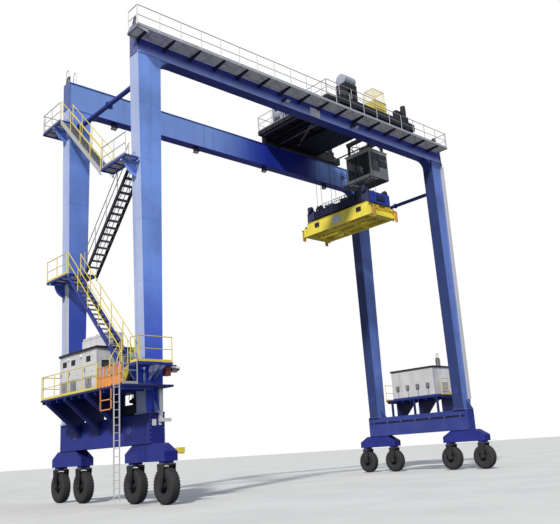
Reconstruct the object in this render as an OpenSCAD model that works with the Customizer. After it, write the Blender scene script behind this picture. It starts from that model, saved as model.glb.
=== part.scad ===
// Rubber tyred gantry crane: a portal of four columns, two sill beams and two
// girders on eight steered tyres, with a trolley, cab, headblock and spreader.
// Millimetres. X runs along the span, Y along the travel way, Z up.
// The origin is on the ground, in the middle of the portal.

/* [Portal] */
// Distance between the column centres along the span
span = 23470; // [20000:10:27000]
// Distance between the column centres along the travel way
base = 7140; // [6600:10:7600]
// Width of a column along the span where it leaves the sill
column_foot_w = 840; // [700:10:900]
// Width of a column along the span under the girder
column_head_w = 1280; // [1000:10:1300]
// Depth of a column along the travel way
column_d = 770; // [600:10:780]
// Height of the underside of the girders
girder_z = 20820; // [20700:10:22000]
// Depth of a girder
girder_h = 1630; // [1400:10:1900]
// Width of a girder over its webs
girder_w = 560; // [500:10:600]
// Width of a girder flange
flange_w = 660; // [640:10:700]
// Thickness of flanges and of bolted end plates
plate_t = 35; // [25:1:45]
// Radius of the haunch between a column and its girder
haunch_r = 700; // [400:10:800]
// Length that a girder reaches past the outer face of its columns
girder_over = 25; // [0:5:60]
// Height of the underside of the sill beams
sill_z = 2450; // [2400:10:2500]
// Depth of a sill beam
sill_h = 1250; // [1100:10:1300]
// Width of a sill beam
sill_w = 760; // [700:10:800]
// Length that a sill beam reaches past its columns
sill_over = 170; // [120:10:300]
// Outer diameter of the side tie pipes
tie_d = 250; // [180:10:300]
// Height of the tie pipe on the side of the electrical house
tie_left_z = 19815; // [19500:5:20000]
// Height of the tie pipe on the other side, low enough for the cab
tie_right_z = 18740; // [18400:5:19000]

/* [Running gear] */
// Outer diameter of a tyre
tyre_d = 1500; // [1400:10:1560]
// Width of a tyre
tyre_w = 430; // [380:5:450]
// Distance between the two wheels of a bogie
wheel_pitch = 2400; // [2200:10:2500]
// Diameter of the wheel axles
axle_d = 120; // [90:5:150]
// Diameter of the steering pins
kingpin_d = 260; // [200:10:320]
// Running gap round a pin, an axle or a slide pad
pin_gap = 0.3; // [0.2:0.05:0.5]
// Gap between a tyre and the cheeks of its fork
fork_gap = 45; // [30:5:60]
// Thickness of the fork cheeks
cheek_t = 50; // [40:5:60]

/* [Trolley] */
// Place of the hoist centre along the span
hoist_x = 6330; // [6000:10:6600]
// Distance between the two axles of the trolley
trolley_base = 5450; // [5200:10:5600]
// Distance from the hoist centre back to the first trolley axle
axle_back = 2780; // [2700:10:2900]
// Tread diameter of the trolley wheels
trolley_wheel_d = 600; // [500:10:620]
// Height of the trolley rail
rail_h = 80; // [60:5:100]
// Width of the trolley rail
rail_w = 75; // [60:5:80]
// Length of the trolley platform
platform_l = 5900; // [5800:10:6200]
// Distance that the platform reaches past the hoist centre
platform_front = 1170; // [1150:10:1180]
// Width of the trolley platform
platform_w = 6720; // [6600:10:6720]
// Thickness of the trolley platform
platform_t = 260; // [200:10:300]
// Length of the cab along the span
cab_l = 1900; // [1700:10:2000]
// Width of the cab along the travel way
cab_w = 2200; // [2000:10:2300]
// Height of the cab
cab_h = 2100; // [2000:10:2200]
// Distance from the hoist centre to the cab
cab_off = 1740; // [1700:10:1800]

/* [Hoist and spreader] */
// Height of the underside of the spreader
spreader_z = 16060; // [15000:10:16500]
// Depth of the spreader main frame
spreader_h = 900; // [800:10:950]
// Gap between the main frame and an end beam that is drawn in
end_gap = 16.5; // [10:0.5:40]
// Width of the spreader over its end beams
spreader_w = 2438; // [2430:1:2450]
// Distance between the twistlocks along the travel way
lock_pitch_y = 5853; // [5840:1:5860]
// Distance between the twistlocks along the span
lock_pitch_x = 2259; // [2250:1:2262]
// Width of an end beam
end_beam_w = 320; // [280:5:340]
// Depth of an end beam
end_beam_h = 560; // [500:5:600]
// Length of the telescopic tubes
tube_l = 4900; // [4600:10:4950]
// Depth of the headblock
headblock_h = 940; // [850:10:1000]
// Length of the headblock
headblock_l = 5700; // [5400:10:5800]
// Diameter of the hoist ropes
rope_d = 26; // [20:1:32]
// Distance between the two rope groups along the travel way
rope_pitch_y = 3600; // [3400:10:3800]
// Distance between the rope falls along the span
rope_pitch_x = 1500; // [1400:10:1600]

/* [Access and houses] */
// Height of the equipment deck
deck_z = 4800; // [4700:10:4900]
// Distance that the equipment decks reach past the stair lane
deck_over = 800; // [700:10:1000]
// Width of the outer stair lane
lane_w = 700; // [650:10:720]
// Height of the first landing
landing_1_z = 5740; // [5600:10:5800]
// Height of the second landing
landing_2_z = 10950; // [10800:10:11100]
// Height of the third landing
landing_3_z = 15300; // [15200:10:15400]
// Height of the fourth landing
landing_4_z = 19700; // [19600:10:19800]
// Rise of one step
step_rise = 270; // [240:5:300]
// Height of the handrails
rail_height = 1100; // [1000:10:1200]
// Height of the girder walkway
walkway_z = 21650; // [21500:10:21700]
// Width of the girder walkway
walkway_w = 950; // [800:10:1000]
// Distance between the walkway brackets
bracket_pitch = 1550; // [1400:10:1700]
// Length of the electrical house
house_l = 3550; // [3300:10:3600]
// Width of the electrical house
house_w = 1900; // [1700:10:1950]
// Height of the electrical house
house_h = 1900; // [1800:10:2000]

/* [Hidden] */

BLUE = [0.16, 0.28, 0.72];
YELLOW = [0.93, 0.82, 0.25];
GREY = [0.80, 0.82, 0.84];
DARK = [0.09, 0.09, 0.16];
ORANGE = [0.92, 0.45, 0.12];

col_x = span / 2;
col_y = base / 2;
girder_top = girder_z + girder_h;
sill_top = sill_z + sill_h;
girder_end = col_x + column_head_w / 2 + girder_over;
rail_top = girder_top + rail_h;

// Half the width of a column along the span at a height
function column_half(z) =
  (column_foot_w + (column_head_w - column_foot_w) * (z - sill_top) / (girder_z - sill_top)) / 2;

// Box given by its low and high corners
module span_box(low, high) {
  translate(low) cube(high - low);
}

// Round bar between two points that differ along one axis
module bar_x(x0, x1, y, z, r) {
  translate([x0, y, z]) rotate([0, 90, 0]) cylinder(r = r, h = x1 - x0, $fn = 32);
}

module bar_y(y0, y1, x, z, r) {
  translate([x, y1, z]) rotate([90, 0, 0]) cylinder(r = r, h = y1 - y0, $fn = 32);
}

// Outline in the XZ plane carried along Y from y0 to y1
module slab_y(y0, y1) {
  translate([0, y1, 0]) rotate([90, 0, 0]) linear_extrude(y1 - y0) children();
}

// Outline in the YZ plane carried along X from x0 to x1
module slab_x(x0, x1) {
  translate([x0, 0, 0]) rotate([90, 0, 90]) linear_extrude(x1 - x0) children();
}

// Portal frame

post_w = 60;
foot_gusset_h = 650;
foot_gusset_l = 420;

// Column with its end plates, foot gussets and haunch, for the corner at (sx, sy)
module column(sx, sy) {
  foot = column_half(sill_top);
  head = column_half(girder_z);
  y0 = sy * col_y - column_d / 2;
  y1 = y0 + column_d;
  color(BLUE) {
    slab_y(y0, y1) translate([sx * col_x, 0]) polygon([[-foot, sill_top], [foot, sill_top],
      [head, girder_z], [-head, girder_z]]);
    span_box([sx * col_x - foot - post_w, y0 - post_w, sill_top],
      [sx * col_x + foot + post_w, y1 + post_w, sill_top + plate_t]);
    span_box([sx * col_x - head, y0 - post_w / 2, girder_z - plate_t],
      [sx * col_x + head, y1 + post_w / 2, girder_z]);
    slab_y(sy * col_y - girder_w / 2, sy * col_y + girder_w / 2)
      translate([sx * (col_x - head), girder_z]) scale([-sx, 1]) haunch();
    for (end = [-1, 1]) slab_x(sx * col_x - plate_t, sx * col_x + plate_t)
      polygon([[sy * col_y + end * column_d / 2, sill_top],
        [sy * col_y + end * (column_d / 2 + foot_gusset_l), sill_top],
        [sy * col_y + end * column_d / 2, sill_top + foot_gusset_h]]);
  }
}

// Haunch outline: a square corner less a quarter circle, at the top right of the corner
module haunch() {
  difference() {
    translate([-haunch_root, -haunch_r]) square([haunch_r + haunch_root, haunch_r]);
    translate([haunch_r, -haunch_r]) circle(r = haunch_r, $fn = 64);
  }
}
haunch_root = 60;

// Arm along X under a landing, welded to the outer column face with a quarter round gusset
module landing_arm(y, z) {
  root = -col_x - column_half(z) + arm_root;
  top = z - landing_t;
  span_box([lane_x0, y - arm_w / 2, top - arm_h], [root, y + arm_w / 2, top]);
  slab_y(y - plate_t / 2, y + plate_t / 2) translate([root, top - arm_h]) intersection() {
    circle(r = gusset_r, $fn = 64);
    translate([-gusset_r, -gusset_r]) square([gusset_r, gusset_r]);
  }
}
landing_t = 60;
arm_w = 120;
arm_h = 140;
arm_root = 20;
gusset_r = 620;

// Bracket along Y under the part of a landing that stands before a column face at side sy
module landing_bracket(x, sy, z) {
  face = sy * (col_y + column_d / 2 - 10);
  slab_x(x - plate_t / 2, x + plate_t / 2) polygon([[face, z - landing_t], [sy * landing_out, z - landing_t],
    [sy * landing_out, z - landing_t - arm_h / 2], [face, z - landing_t - gusset_r]]);
}

module sill(sx) {
  half = col_y + column_d / 2 + sill_over;
  x0 = sx * col_x - sill_w / 2;
  color(BLUE) span_box([x0, -half, sill_z], [x0 + sill_w, half, sill_top]);
}

// Bogie beams under the four corners, each with two turrets for the steering pins
module bogie_beams() {
  color(BLUE) for (sx = [-1, 1], sy = [-1, 1]) difference() {
    union() {
      slab_x(sx * col_x - bogie_w / 2, sx * col_x + bogie_w / 2) translate([sy * col_y, 0]) bogie_outline();
      for (s = [-1, 1]) translate([sx * col_x, sy * col_y + s * wheel_pitch / 2, turret_z])
        cylinder(r = turret_r, h = bogie_z - turret_z + 1, $fn = 64);
    }
    for (s = [-1, 1]) translate([sx * col_x, sy * col_y + s * wheel_pitch / 2, turret_z - 1])
      cylinder(d = kingpin_d + 2 * pin_gap, h = kingpin_up + 1 + pin_gap, $fn = 64);
  }
}

// Bogie beam outline: deep in the middle, shallow over each wheel
module bogie_outline() {
  half = wheel_pitch / 2 + turret_r + 60;
  polygon([[-half, bogie_z], [half, bogie_z], [half, bogie_z + bogie_end_h], [bogie_mid, sill_z],
    [-bogie_mid, sill_z], [-half, bogie_z + bogie_end_h]]);
}
bogie_mid = 900;
bogie_w = 640;
bogie_end_h = 380;
fork_top = tyre_d + 110;
turret_z = fork_top + 6;
bogie_z = turret_z + 90;
turret_r = 300;
kingpin_up = 260;

// Left columns with the arms and brackets that carry the landings
module near_left_column() {
  column(-1, -1);
  color(BLUE) {
    landing_arm(-col_y - arm_shift, landing_1_z);
    landing_arm(-col_y, landing_3_z);
    for (x = [-col_x - bracket_off, -col_x]) landing_bracket(x, -1, landing_1_z);
  }
}

module far_left_column() {
  column(-1, 1);
  color(BLUE) {
    for (z = [landing_2_z, landing_4_z]) landing_arm(col_y, z);
    for (x = [-col_x - bracket_off, -col_x + bracket_off]) landing_bracket(x, 1, landing_4_z);
  }
}
bracket_off = 250;
arm_shift = 200;
strip_end = -col_x + 335;

module side_ties() {
  color(BLUE) for (side = [[-1, tie_left_z], [1, tie_right_z]])
    bar_y(-col_y + column_d / 2, col_y - column_d / 2, side[0] * col_x, side[1], tie_d / 2);
}

// Girder: web box, wider flanges and end plates
module girder(sy) {
  y = sy * col_y;
  color(BLUE) {
    span_box([-girder_end + plate_t, y - girder_w / 2, girder_z],
      [girder_end - plate_t, y + girder_w / 2, girder_top]);
    for (z = [girder_z, girder_top - plate_t])
      span_box([-girder_end, y - flange_w / 2, z], [girder_end, y + flange_w / 2, z + plate_t]);
    for (s = [-1, 1]) span_box([s * girder_end - (s > 0 ? plate_t : 0), y - flange_w / 2, girder_z],
      [s * girder_end + (s > 0 ? 0 : plate_t), y + flange_w / 2, girder_top]);
  }
}

// Crane rails: square bars on sole plates along the girders, with an end stop past each end
module trolley_track() {
  color(GREY) for (sy = [-1, 1]) {
    slab_x(-stop_x + stop_t, stop_x - stop_t) translate([sy * col_y, girder_top]) {
      translate([-rail_w, 0]) square([2 * rail_w, sole_t]);
      polygon([[-rail_w / 2, sole_t + seat], [rail_w / 2, sole_t + seat], [rail_w / 2, rail_h - rail_round],
        [rail_w / 2 - rail_round, rail_h], [rail_round - rail_w / 2, rail_h],
        [-rail_w / 2, rail_h - rail_round]]);
    }
    for (s = [-1, 1]) slab_y(sy * col_y - stop_w / 2, sy * col_y + stop_w / 2) polygon([
      [s * (stop_x - stop_t / 2), girder_top], [s * (stop_x - stop_t / 2), rail_top + stop_h],
      [s * (stop_x + stop_t / 4), rail_top + stop_h], [s * (stop_x + stop_t), girder_top]]);
  }
}
sole_t = 12;
rail_round = 6;
seat = 0.3;
stop_x = girder_end - 120;
stop_t = 110;
stop_w = 240;
stop_h = 380;

// Access

ladder_w = 480;
rung_pitch = 300;
stile = 40;
walk_y = -col_y - girder_w / 2;
walk_over = 500;
walk_x = [-girder_end - walk_over, girder_end - 380];
walk_t = 40;
walk_edge = walk_y - (flange_w - girder_w) / 2;
bracket_h = 220;
bracket_tip = 90;

module walkway() {
  color(GREY) {
    span_box([walk_x[0], walk_y - walkway_w, walkway_z - walk_t], [walk_x[1], walk_edge, walkway_z]);
    for (x = [-girder_end + 80 : bracket_pitch : walk_x[1] - 20]) slab_x(x - 20, x + 20)
      polygon([[walk_y, walkway_z - walk_t + 1], [walk_y, walkway_z - walk_t - bracket_h],
        [walk_y - walkway_w, walkway_z - walk_t - bracket_tip],
        [walk_y - walkway_w, walkway_z - walk_t + 1]]);
    slab_y(walk_y - walkway_w, walk_y - walkway_w + 40) polygon([[-girder_end + 90, walkway_z - walk_t + 1],
      [walk_x[0], walkway_z - walk_t + 1], [walk_x[0], walkway_z - walk_t - bracket_tip],
      [-girder_end + 90, walkway_z - walk_t - bracket_h]]);
  }
}

// Handrail along X or Y: posts, two rails and a toe plate, fused in one solid
module rail_run(length, posts) {
  for (i = [0 : posts - 1])
    translate([(length - tube) * i / (posts - 1), -tube / 2, 0]) cube([tube, tube, rail_height]);
  for (h = [rail_height * 0.5, rail_height - tube]) translate([0, -tube / 2, h]) cube([length, tube, tube]);
  translate([0, -toe_t / 2, 0]) cube([length, toe_t, toe_h]);
}
tube = 45;
toe_t = 8;
toe_h = 100;

function post_count(length) = max(2, round(length / 1250) + 1);

module rail_x(x0, x1, y, z) {
  translate([x0, y, z]) rail_run(x1 - x0, post_count(x1 - x0));
}

module rail_y(y0, y1, x, z) {
  translate([x, y0, z]) rotate([0, 0, 90]) rail_run(y1 - y0, post_count(y1 - y0));
}

module walkway_rails() {
  color(GREY) {
    rail_x(walk_x[0], walk_x[1], walk_y - walkway_w + tube, walkway_z);
    for (x = [walk_x[0] + tube / 2, walk_x[1] - tube / 2])
      rail_y(walk_y - walkway_w + 2 * tube, walk_edge - 20, x, walkway_z);
  }
}

// Equipment decks over the sills, on posts and brackets
lane_gap = 25;
lane_x1 = -col_x - column_head_w / 2 - lane_gap;
lane_x0 = lane_x1 - lane_w;
deck_reach = -lane_x0 + deck_over;
deck_t = 90;
deck_y = [-4950, 2500];
deck_in = col_x - sill_w / 2 + 60;
power_deck_y = [-2400, 2400];
power_reach = deck_reach + stile;

module equipment_decks() {
  color(BLUE) for (sx = [-1, 1]) {
    ys = sx < 0 ? deck_y : power_deck_y;
    xs = sx < 0 ? [-deck_reach, -deck_in] : [deck_in, power_reach];
    difference() {
      span_box([xs[0], ys[0], deck_z - deck_t], [xs[1], ys[1], deck_z]);
      if (sx < 0) span_box([-col_x - column_foot_w / 2 - 120, -col_y - column_d / 2 - 80, 0],
        [xs[1] + 1, -col_y + column_d / 2 + 80, deck_z + 1]);
    }
    for (y = [-1900, 0, 1900]) {
      span_box([sx * col_x - sx * sill_w / 2 + sx * 90 - 60, y - 60, sill_top],
        [sx * col_x - sx * sill_w / 2 + sx * 90 + 60, y + 60, deck_z - deck_t]);
      slab_y(y - 60, y + 60) polygon([[sx * (col_x + sill_w / 2), sill_top - 700],
        [sx * (col_x + sill_w / 2), deck_z - deck_t], [sx * deck_reach, deck_z - deck_t],
        [sx * deck_reach, deck_z - deck_t - 160]]);
      span_box([sx * (col_x + sill_w / 2) - (sx < 0 ? 0 : 140), y - 60, sill_top],
        [sx * (col_x + sill_w / 2) + (sx < 0 ? 140 : 0), y + 60, deck_z - deck_t]);
    }
  }
}

module deck_rails() {
  edge = deck_reach - tube / 2;
  color(YELLOW) {
    rail_y(-2900, deck_y[1], -edge, deck_z);
    rail_x(-edge + tube, -deck_in, deck_y[1] - tube / 2, deck_z);
    rail_y(power_deck_y[0], power_deck_y[1], edge, deck_z);
    rail_x(deck_in, edge - tube, power_deck_y[0] + tube / 2, deck_z);
    rail_x(deck_in, edge - tube, power_deck_y[1] - tube / 2, deck_z);
  }
  landing_steps();
}

// Orange gates in the deck rail and the hanging frame under the first of them
module gates() {
  edge = deck_reach - tube / 2;
  color(ORANGE) {
    for (y = gate_y) gate(y[0], y[1], -edge);
    rail_x(-edge + tube, lane_x0 - 40, deck_y[0] + tube / 2, deck_z);
    translate([-deck_reach, 0, 0]) for (y = [hanger_y[0], hanger_y[1] - tube])
      cube_at([tube, tube, deck_z - deck_t - hanger_z], [0, y, hanger_z]);
    for (z = [hanger_z, hanger_z + hanger_h]) cube_at([tube, hanger_y[1] - hanger_y[0], tube],
      [-deck_reach, hanger_y[0], z]);
  }
}
gate_y = [[-4150, -2960], [-4905, -4190]];
gate_h = 850;
hanger_y = [-4110, -3180];
hanger_z = 3850;
hanger_h = 400;

module cube_at(size, place) {
  translate(place) cube(size);
}

// Gate of the deck rail between y0 and y1: a framed panel with two upright bars
module gate(y0, y1, x) {
  for (z = [deck_z, deck_z + gate_h - tube]) cube_at([tube, y1 - y0, tube], [x - tube / 2, y0, z]);
  for (i = [0 : 3]) cube_at([tube, tube, gate_h], [x - tube / 2, y0 + (y1 - y0 - tube) * i / 3, deck_z]);
  cube_at([tube / 3, y1 - y0, gate_h * 0.45], [x - tube / 6, y0, deck_z]);
}

// Three steps from the deck to the first landing
module landing_steps() {
  rise = (landing_1_z - deck_z) / 3;
  color(YELLOW) for (y = [step_y[0], step_y[1] - stringer_t]) slab_y(y, y + stringer_t)
    polygon([[lane_x0 - step_run, deck_z], [lane_x0 - step_run, deck_z + rise],
      [lane_x0, landing_1_z], [lane_x0, landing_1_z - 300], [lane_x0 - 200, deck_z]]);
  color(YELLOW) for (i = [1, 2]) cube_at([step_run / 3, step_y[1] - step_y[0] - 2 * stringer_t + 2, tread_t],
    [lane_x0 - step_run + step_run / 3 * (i - 1) + 10, step_y[0] + stringer_t - 1,
    deck_z + rise * i - tread_t]);
}
step_y = [-4150, -3500];
step_run = 560;

house_off = 500;
house_x = -deck_reach + house_off;
house_y = -2000;
roof_t = 90;
cooler = [700, 2600, 850];

module electrical_house() {
  color(GREY) {
    span_box([house_x, house_y, deck_z], [house_x + house_w, house_y + house_l, deck_z + house_h]);
    span_box([house_x - 60, house_y - 60, deck_z + house_h],
      [house_x + house_w + 60, house_y + house_l + 60, deck_z + house_h + roof_t]);
  }
}

module roof_cooler() {
  color(GREY) translate([house_x + house_w - cooler[0] - 100, house_y + 900, deck_z + house_h + roof_t])
    cube(cooler);
}

module power_pack() {
  color(GREY) {
    span_box([-house_x - house_w, -house_l / 2, deck_z], [-house_x, house_l / 2, deck_z + house_h]);
    span_box([-house_x - house_w - 40, -house_l / 2 - 40, deck_z + house_h],
      [-house_x + 40, house_l / 2 + 40, deck_z + house_h + roof_t]);
    translate([-house_x - 500, -house_l / 2 + 500, deck_z + house_h + roof_t])
      cylinder(d = 160, h = 900, $fn = 48);
  }
}

// Stair lanes beside the columns on the left side
inner_x0 = lane_x1 + 50;
inner_x1 = inner_x0 + lane_w;
flight_1_y = -3600;
flight_2_y = 1350;
flight_3_y = -1700;
landing_out = 4900;

// Landings: plates beside and round the columns
module landings() {
  face = col_y - column_d / 2 - 15;
  back = col_y + column_d / 2 + 15;
  color(BLUE) {
    landing_plate(lane_x0, lane_x1, -landing_out, flight_1_y, landing_1_z);
    landing_plate(lane_x1 - 1, strip_end, -landing_out, -back - 60, landing_1_z);
    landing_plate(lane_x0, lane_x1, flight_1_y + landing_2_z - landing_1_z, back, landing_2_z);
    landing_plate(lane_x1 - 1, inner_x1, flight_1_y + landing_2_z - landing_1_z, face, landing_2_z);
    landing_plate(inner_x0, inner_x1, flight_2_y, face, landing_2_z);
    landing_plate(lane_x0, lane_x1, -back, flight_3_y, landing_3_z);
    landing_plate(lane_x1 - 1, inner_x1, -face, flight_2_y - landing_3_z + landing_2_z, landing_3_z);
    landing_plate(lane_x0, lane_x1, flight_3_y + landing_4_z - landing_3_z, landing_out, landing_4_z);
    landing_plate(lane_x1 - 1, -col_x + 600, back, landing_out, landing_4_z);
  }
}

module landing_plate(x0, x1, y0, y1, z) {
  span_box([x0, y0, z - landing_t], [x1, y1, z]);
}

module landing_rails() {
  color(YELLOW) {
    back = col_y + column_d / 2 + 15;
    edge = lane_x0 + tube / 2;
    rail_y(-landing_out, -4250, edge, landing_1_z);
    rail_x(edge + tube, strip_end, -landing_out + tube / 2, landing_1_z);
    rail_y(flight_1_y + landing_2_z - landing_1_z + 100, back, edge, landing_2_z);
    rail_y(-back, flight_3_y - 100, edge, landing_3_z);
    rail_y(flight_3_y + landing_4_z - landing_3_z + 100, landing_out, edge, landing_4_z);
    rail_x(edge + tube, -col_x + 600, landing_out - tube / 2, landing_4_z);
  }
}

// Flight of steps at 45 degrees: treads between two stringers, with a rail on each side
module flight(x0, x1, y0, z0, rise, dir) {
  steps = round(rise / step_rise);
  going = rise / steps;
  for (x = [x0, x1 - stringer_t]) slab_x(x, x + stringer_t) polygon([[y0, z0 - stringer_h],
    [y0, z0], [y0 + dir * rise, z0 + rise], [y0 + dir * rise, z0 + rise - stringer_h]]);
  for (i = [1 : steps - 1]) translate([x0 + stringer_t - 1, y0 + dir * going * (i + 0.5) - tread_l / 2,
    z0 + going * i - tread_t]) cube([x1 - x0 - 2 * stringer_t + 2, tread_l, tread_t]);
  for (x = [x0, x1 - tube]) slab_x(x, x + tube) {
    for (h = [rail_height * 0.5, rail_height]) polygon([[y0, z0 + h - tube * 1.4], [y0, z0 + h],
      [y0 + dir * rise, z0 + rise + h], [y0 + dir * rise, z0 + rise + h - tube * 1.4]]);
    posts = round(rise / 1000);
    for (i = [0 : posts]) translate([y0 + dir * (rise - tube) * i / posts - (dir < 0 ? tube : 0),
      z0 + (rise - tube) * i / posts - 60]) square([tube, rail_height + 40]);
  }
}
stringer_t = 12;
stringer_h = 300;
tread_l = 250;
tread_t = 35;

module stair_lower() {
  color(YELLOW) flight(lane_x0, lane_x1, flight_1_y, landing_1_z, landing_2_z - landing_1_z, 1);
}

module stair_middle() {
  color(DARK) flight(inner_x0, inner_x1, flight_2_y, landing_2_z, landing_3_z - landing_2_z, -1);
}

module stair_upper() {
  color(YELLOW) flight(lane_x0, lane_x1, flight_3_y, landing_3_z, landing_4_z - landing_3_z, 1);
}

// Ladder in the plane of two stiles
module ladder(height, over) {
  for (s = [-1, 1]) translate([s * (ladder_w - stile) / 2 - stile / 2, -stile / 2, 0])
    cube([stile, stile, height + over]);
  for (z = [rung_pitch / 2 : rung_pitch : height]) translate([-ladder_w / 2 + 5, 0, z]) rotate([0, 90, 0])
    cylinder(r = 13, h = ladder_w - 10, $fn = 8);
}

ladder_foot_z = 350;
ladder_y = -4600;
top_ladder_x = -col_x - 150;
top_ladder_y = col_y + column_d / 2 + 15 + stile / 2 + 200;

module ladders() {
  color(GREY) {
    translate([-deck_reach - stile / 2, ladder_y, ladder_foot_z]) rotate([0, 0, 90])
      ladder(deck_z - ladder_foot_z, 900);
    translate([top_ladder_x, top_ladder_y, landing_4_z]) ladder(girder_top - landing_4_z, 1000);
  }
}

// Floodlight: a bracket plate, a yoke and a lamp body, hung at a height
module lamp(x, y, z) {
  translate([x, y, z]) {
    cube_at([yoke_w, 200, 20], [-yoke_w / 2, -100, -20]);
    cube_at([40, 60, yoke_w], [-20, -30, -yoke_w - 20]);
    translate([0, 0, -lamp_w * 0.75]) rotate([20, 0, 0])
      cube([lamp_w, lamp_w * 0.75, lamp_w / 2], center = true);
  }
}

module floodlights() {
  under = landing_1_z - landing_t;
  color(DARK) {
    for (x = lamp_x) lamp(x, col_y, girder_z);
    cube_at([strip_lamp_w, post_w, post_w], [corner_lamp_x, corner_lamp_y, under - post_w]);
    cube_at([strip_lamp_w, lamp_w, lamp_w],
      [corner_lamp_x + 80, corner_lamp_y - 120, under - post_w - lamp_w]);
    cube_at([lamp_w, lamp_w - 40, switch_h],
      [corner_lamp_x - 240, corner_lamp_y - 100, under - switch_h - 40]);
    for (x = web_lamp_x) {
      cube_at([post_w, web_lamp_out, post_w], [x, walk_y - web_lamp_out, girder_z + lamp_w]);
      cube_at([lamp_w, lamp_w * 0.75, lamp_w * 0.65],
        [x - lamp_w * 0.4, walk_y - web_lamp_out - lamp_w / 4, girder_z + lamp_w * 0.35 + 3]);
    }
  }
}
corner_lamp_x = strip_end - 20;
corner_lamp_y = -4620;
lamp_x = [-9420, -3590, 2130, 8030];
web_lamp_x = [-2850, 2980];
web_lamp_out = 420;
lamp_w = 300;
yoke_w = 160;
strip_lamp_w = 400;
switch_h = 420;

// Cable ducts: thin closed channels on the columns and at the foot of the near left one
duct_w = 160;
wide_duct_w = 240;
foot_duct_up = 880;
foot_duct_h = 1370;
foot_duct_l = 590;
duct_d = 110;
duct_top_z = 11000;

module cable_ducts() {
  low = sill_top + foot_gusset_h;
  high = girder_z - 300;
  color(GREY) {
    slab_y(col_y - column_d / 2 + 60, col_y - column_d / 2 + 60 + duct_w)
      polygon([for (p = [[low, seat], [duct_top_z, seat], [duct_top_z, duct_d], [low, duct_d]])
        [-col_x - column_half(p[0]) - p[1], p[0]]]);
    slab_y(-col_y - column_d / 2 - duct_d, -col_y - column_d / 2)
      polygon([for (p = [[low, 30], [high, 30], [high, 30 + wide_duct_w], [low, 30 + wide_duct_w]])
        [col_x + column_half(p[0]) - p[1], p[0]]]);
    slab_y(-col_y - column_d / 2 - sill_over - duct_d, -col_y - column_d / 2 - sill_over)
      translate([-col_x + 65, sill_z + foot_duct_up]) polygon([[0, foot_duct_h], [0, 0], [foot_duct_l, 0],
        [foot_duct_l, duct_w - 10], [duct_w, duct_w - 10], [duct_w, foot_duct_h]]);
  }
}

// Running gear

// Wheel place for wheel n: pairs run along Y, first the left side, then the right
function wheel_x(n) = (n <= 4 ? -1 : 1) * col_x;
function wheel_y(n) = let(k = (n - 1) % 4) (k < 2 ? -1 : 1) * col_y + (k % 2 == 0 ? -1 : 1) * wheel_pitch / 2;

module fork(n) {
  r = tyre_d / 2;
  half = tyre_w / 2 + fork_gap;
  color(DARK) translate([wheel_x(n), wheel_y(n), 0]) {
    translate([0, 0, fork_top - crown_t]) cylinder(r = crown_r, h = crown_t, $fn = 64);
    translate([0, 0, fork_top - 1]) cylinder(d = kingpin_d, h = kingpin_up + 1, $fn = 64);
    for (s = [-1, 1]) slab_x(s * half - (s < 0 ? cheek_t : 0), s * half + (s < 0 ? 0 : cheek_t))
      hull() {
        translate([0, r]) circle(r = axle_d, $fn = 32);
        translate([-crown_r * 0.7, fork_top - crown_t / 2]) square([crown_r * 1.4, crown_t / 2 - 1]);
      }
    bar_x(-half - cheek_t - 40, half + cheek_t + 40, 0, r, axle_d / 2);
  }
}
crown_t = 70;
crown_r = 340;

module wheel(n) {
  r = tyre_d / 2;
  rim = r * 0.62;
  color(DARK) translate([wheel_x(n), wheel_y(n), r]) rotate([0, 90, 0]) difference() {
    rotate_extrude($fn = 96) polygon([[axle_d / 2 + pin_gap, -tyre_w / 2 + 20],
      [axle_d, -tyre_w / 2 + 20], [axle_d + 40, -60], [rim - 40, -60], [rim - 20, -tyre_w / 2 + 30],
      [rim, -tyre_w / 2 + 20], [rim + 60, -tyre_w / 2], [r - 90, -tyre_w / 2], [r, -tyre_w / 2 + 60],
      [r, tyre_w / 2 - 60], [r - 90, tyre_w / 2], [rim + 60, tyre_w / 2], [rim, tyre_w / 2 - 20],
      [rim - 20, tyre_w / 2 - 30], [rim - 40, 60], [axle_d + 40, 60], [axle_d, tyre_w / 2 - 20],
      [axle_d / 2 + pin_gap, tyre_w / 2 - 20]]);
  }
}

// Trolley

axle_x = [hoist_x - axle_back, hoist_x - axle_back + trolley_base];
wheel_z = rail_top + trolley_wheel_d / 2;
platform_z = wheel_z + 120;
platform_x = [hoist_x + platform_front - platform_l, hoist_x + platform_front];
platform_top = platform_z + platform_t;
cab_x = hoist_x + cab_off;
cab_y = -1000;
cab_z = platform_z - 60 - cab_h - 800;
carriage_w = 420;
carriage_rear = 1250;
carriage_front = 850;
shaft_d = 110;
cross_w = 400;
hanger_w = 150;
hanger_x = [cab_x + hanger_w, cab_x + cab_l - hanger_w - cross_w / 2];
wheel_room = 60;
bearing_drop = 110;

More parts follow.
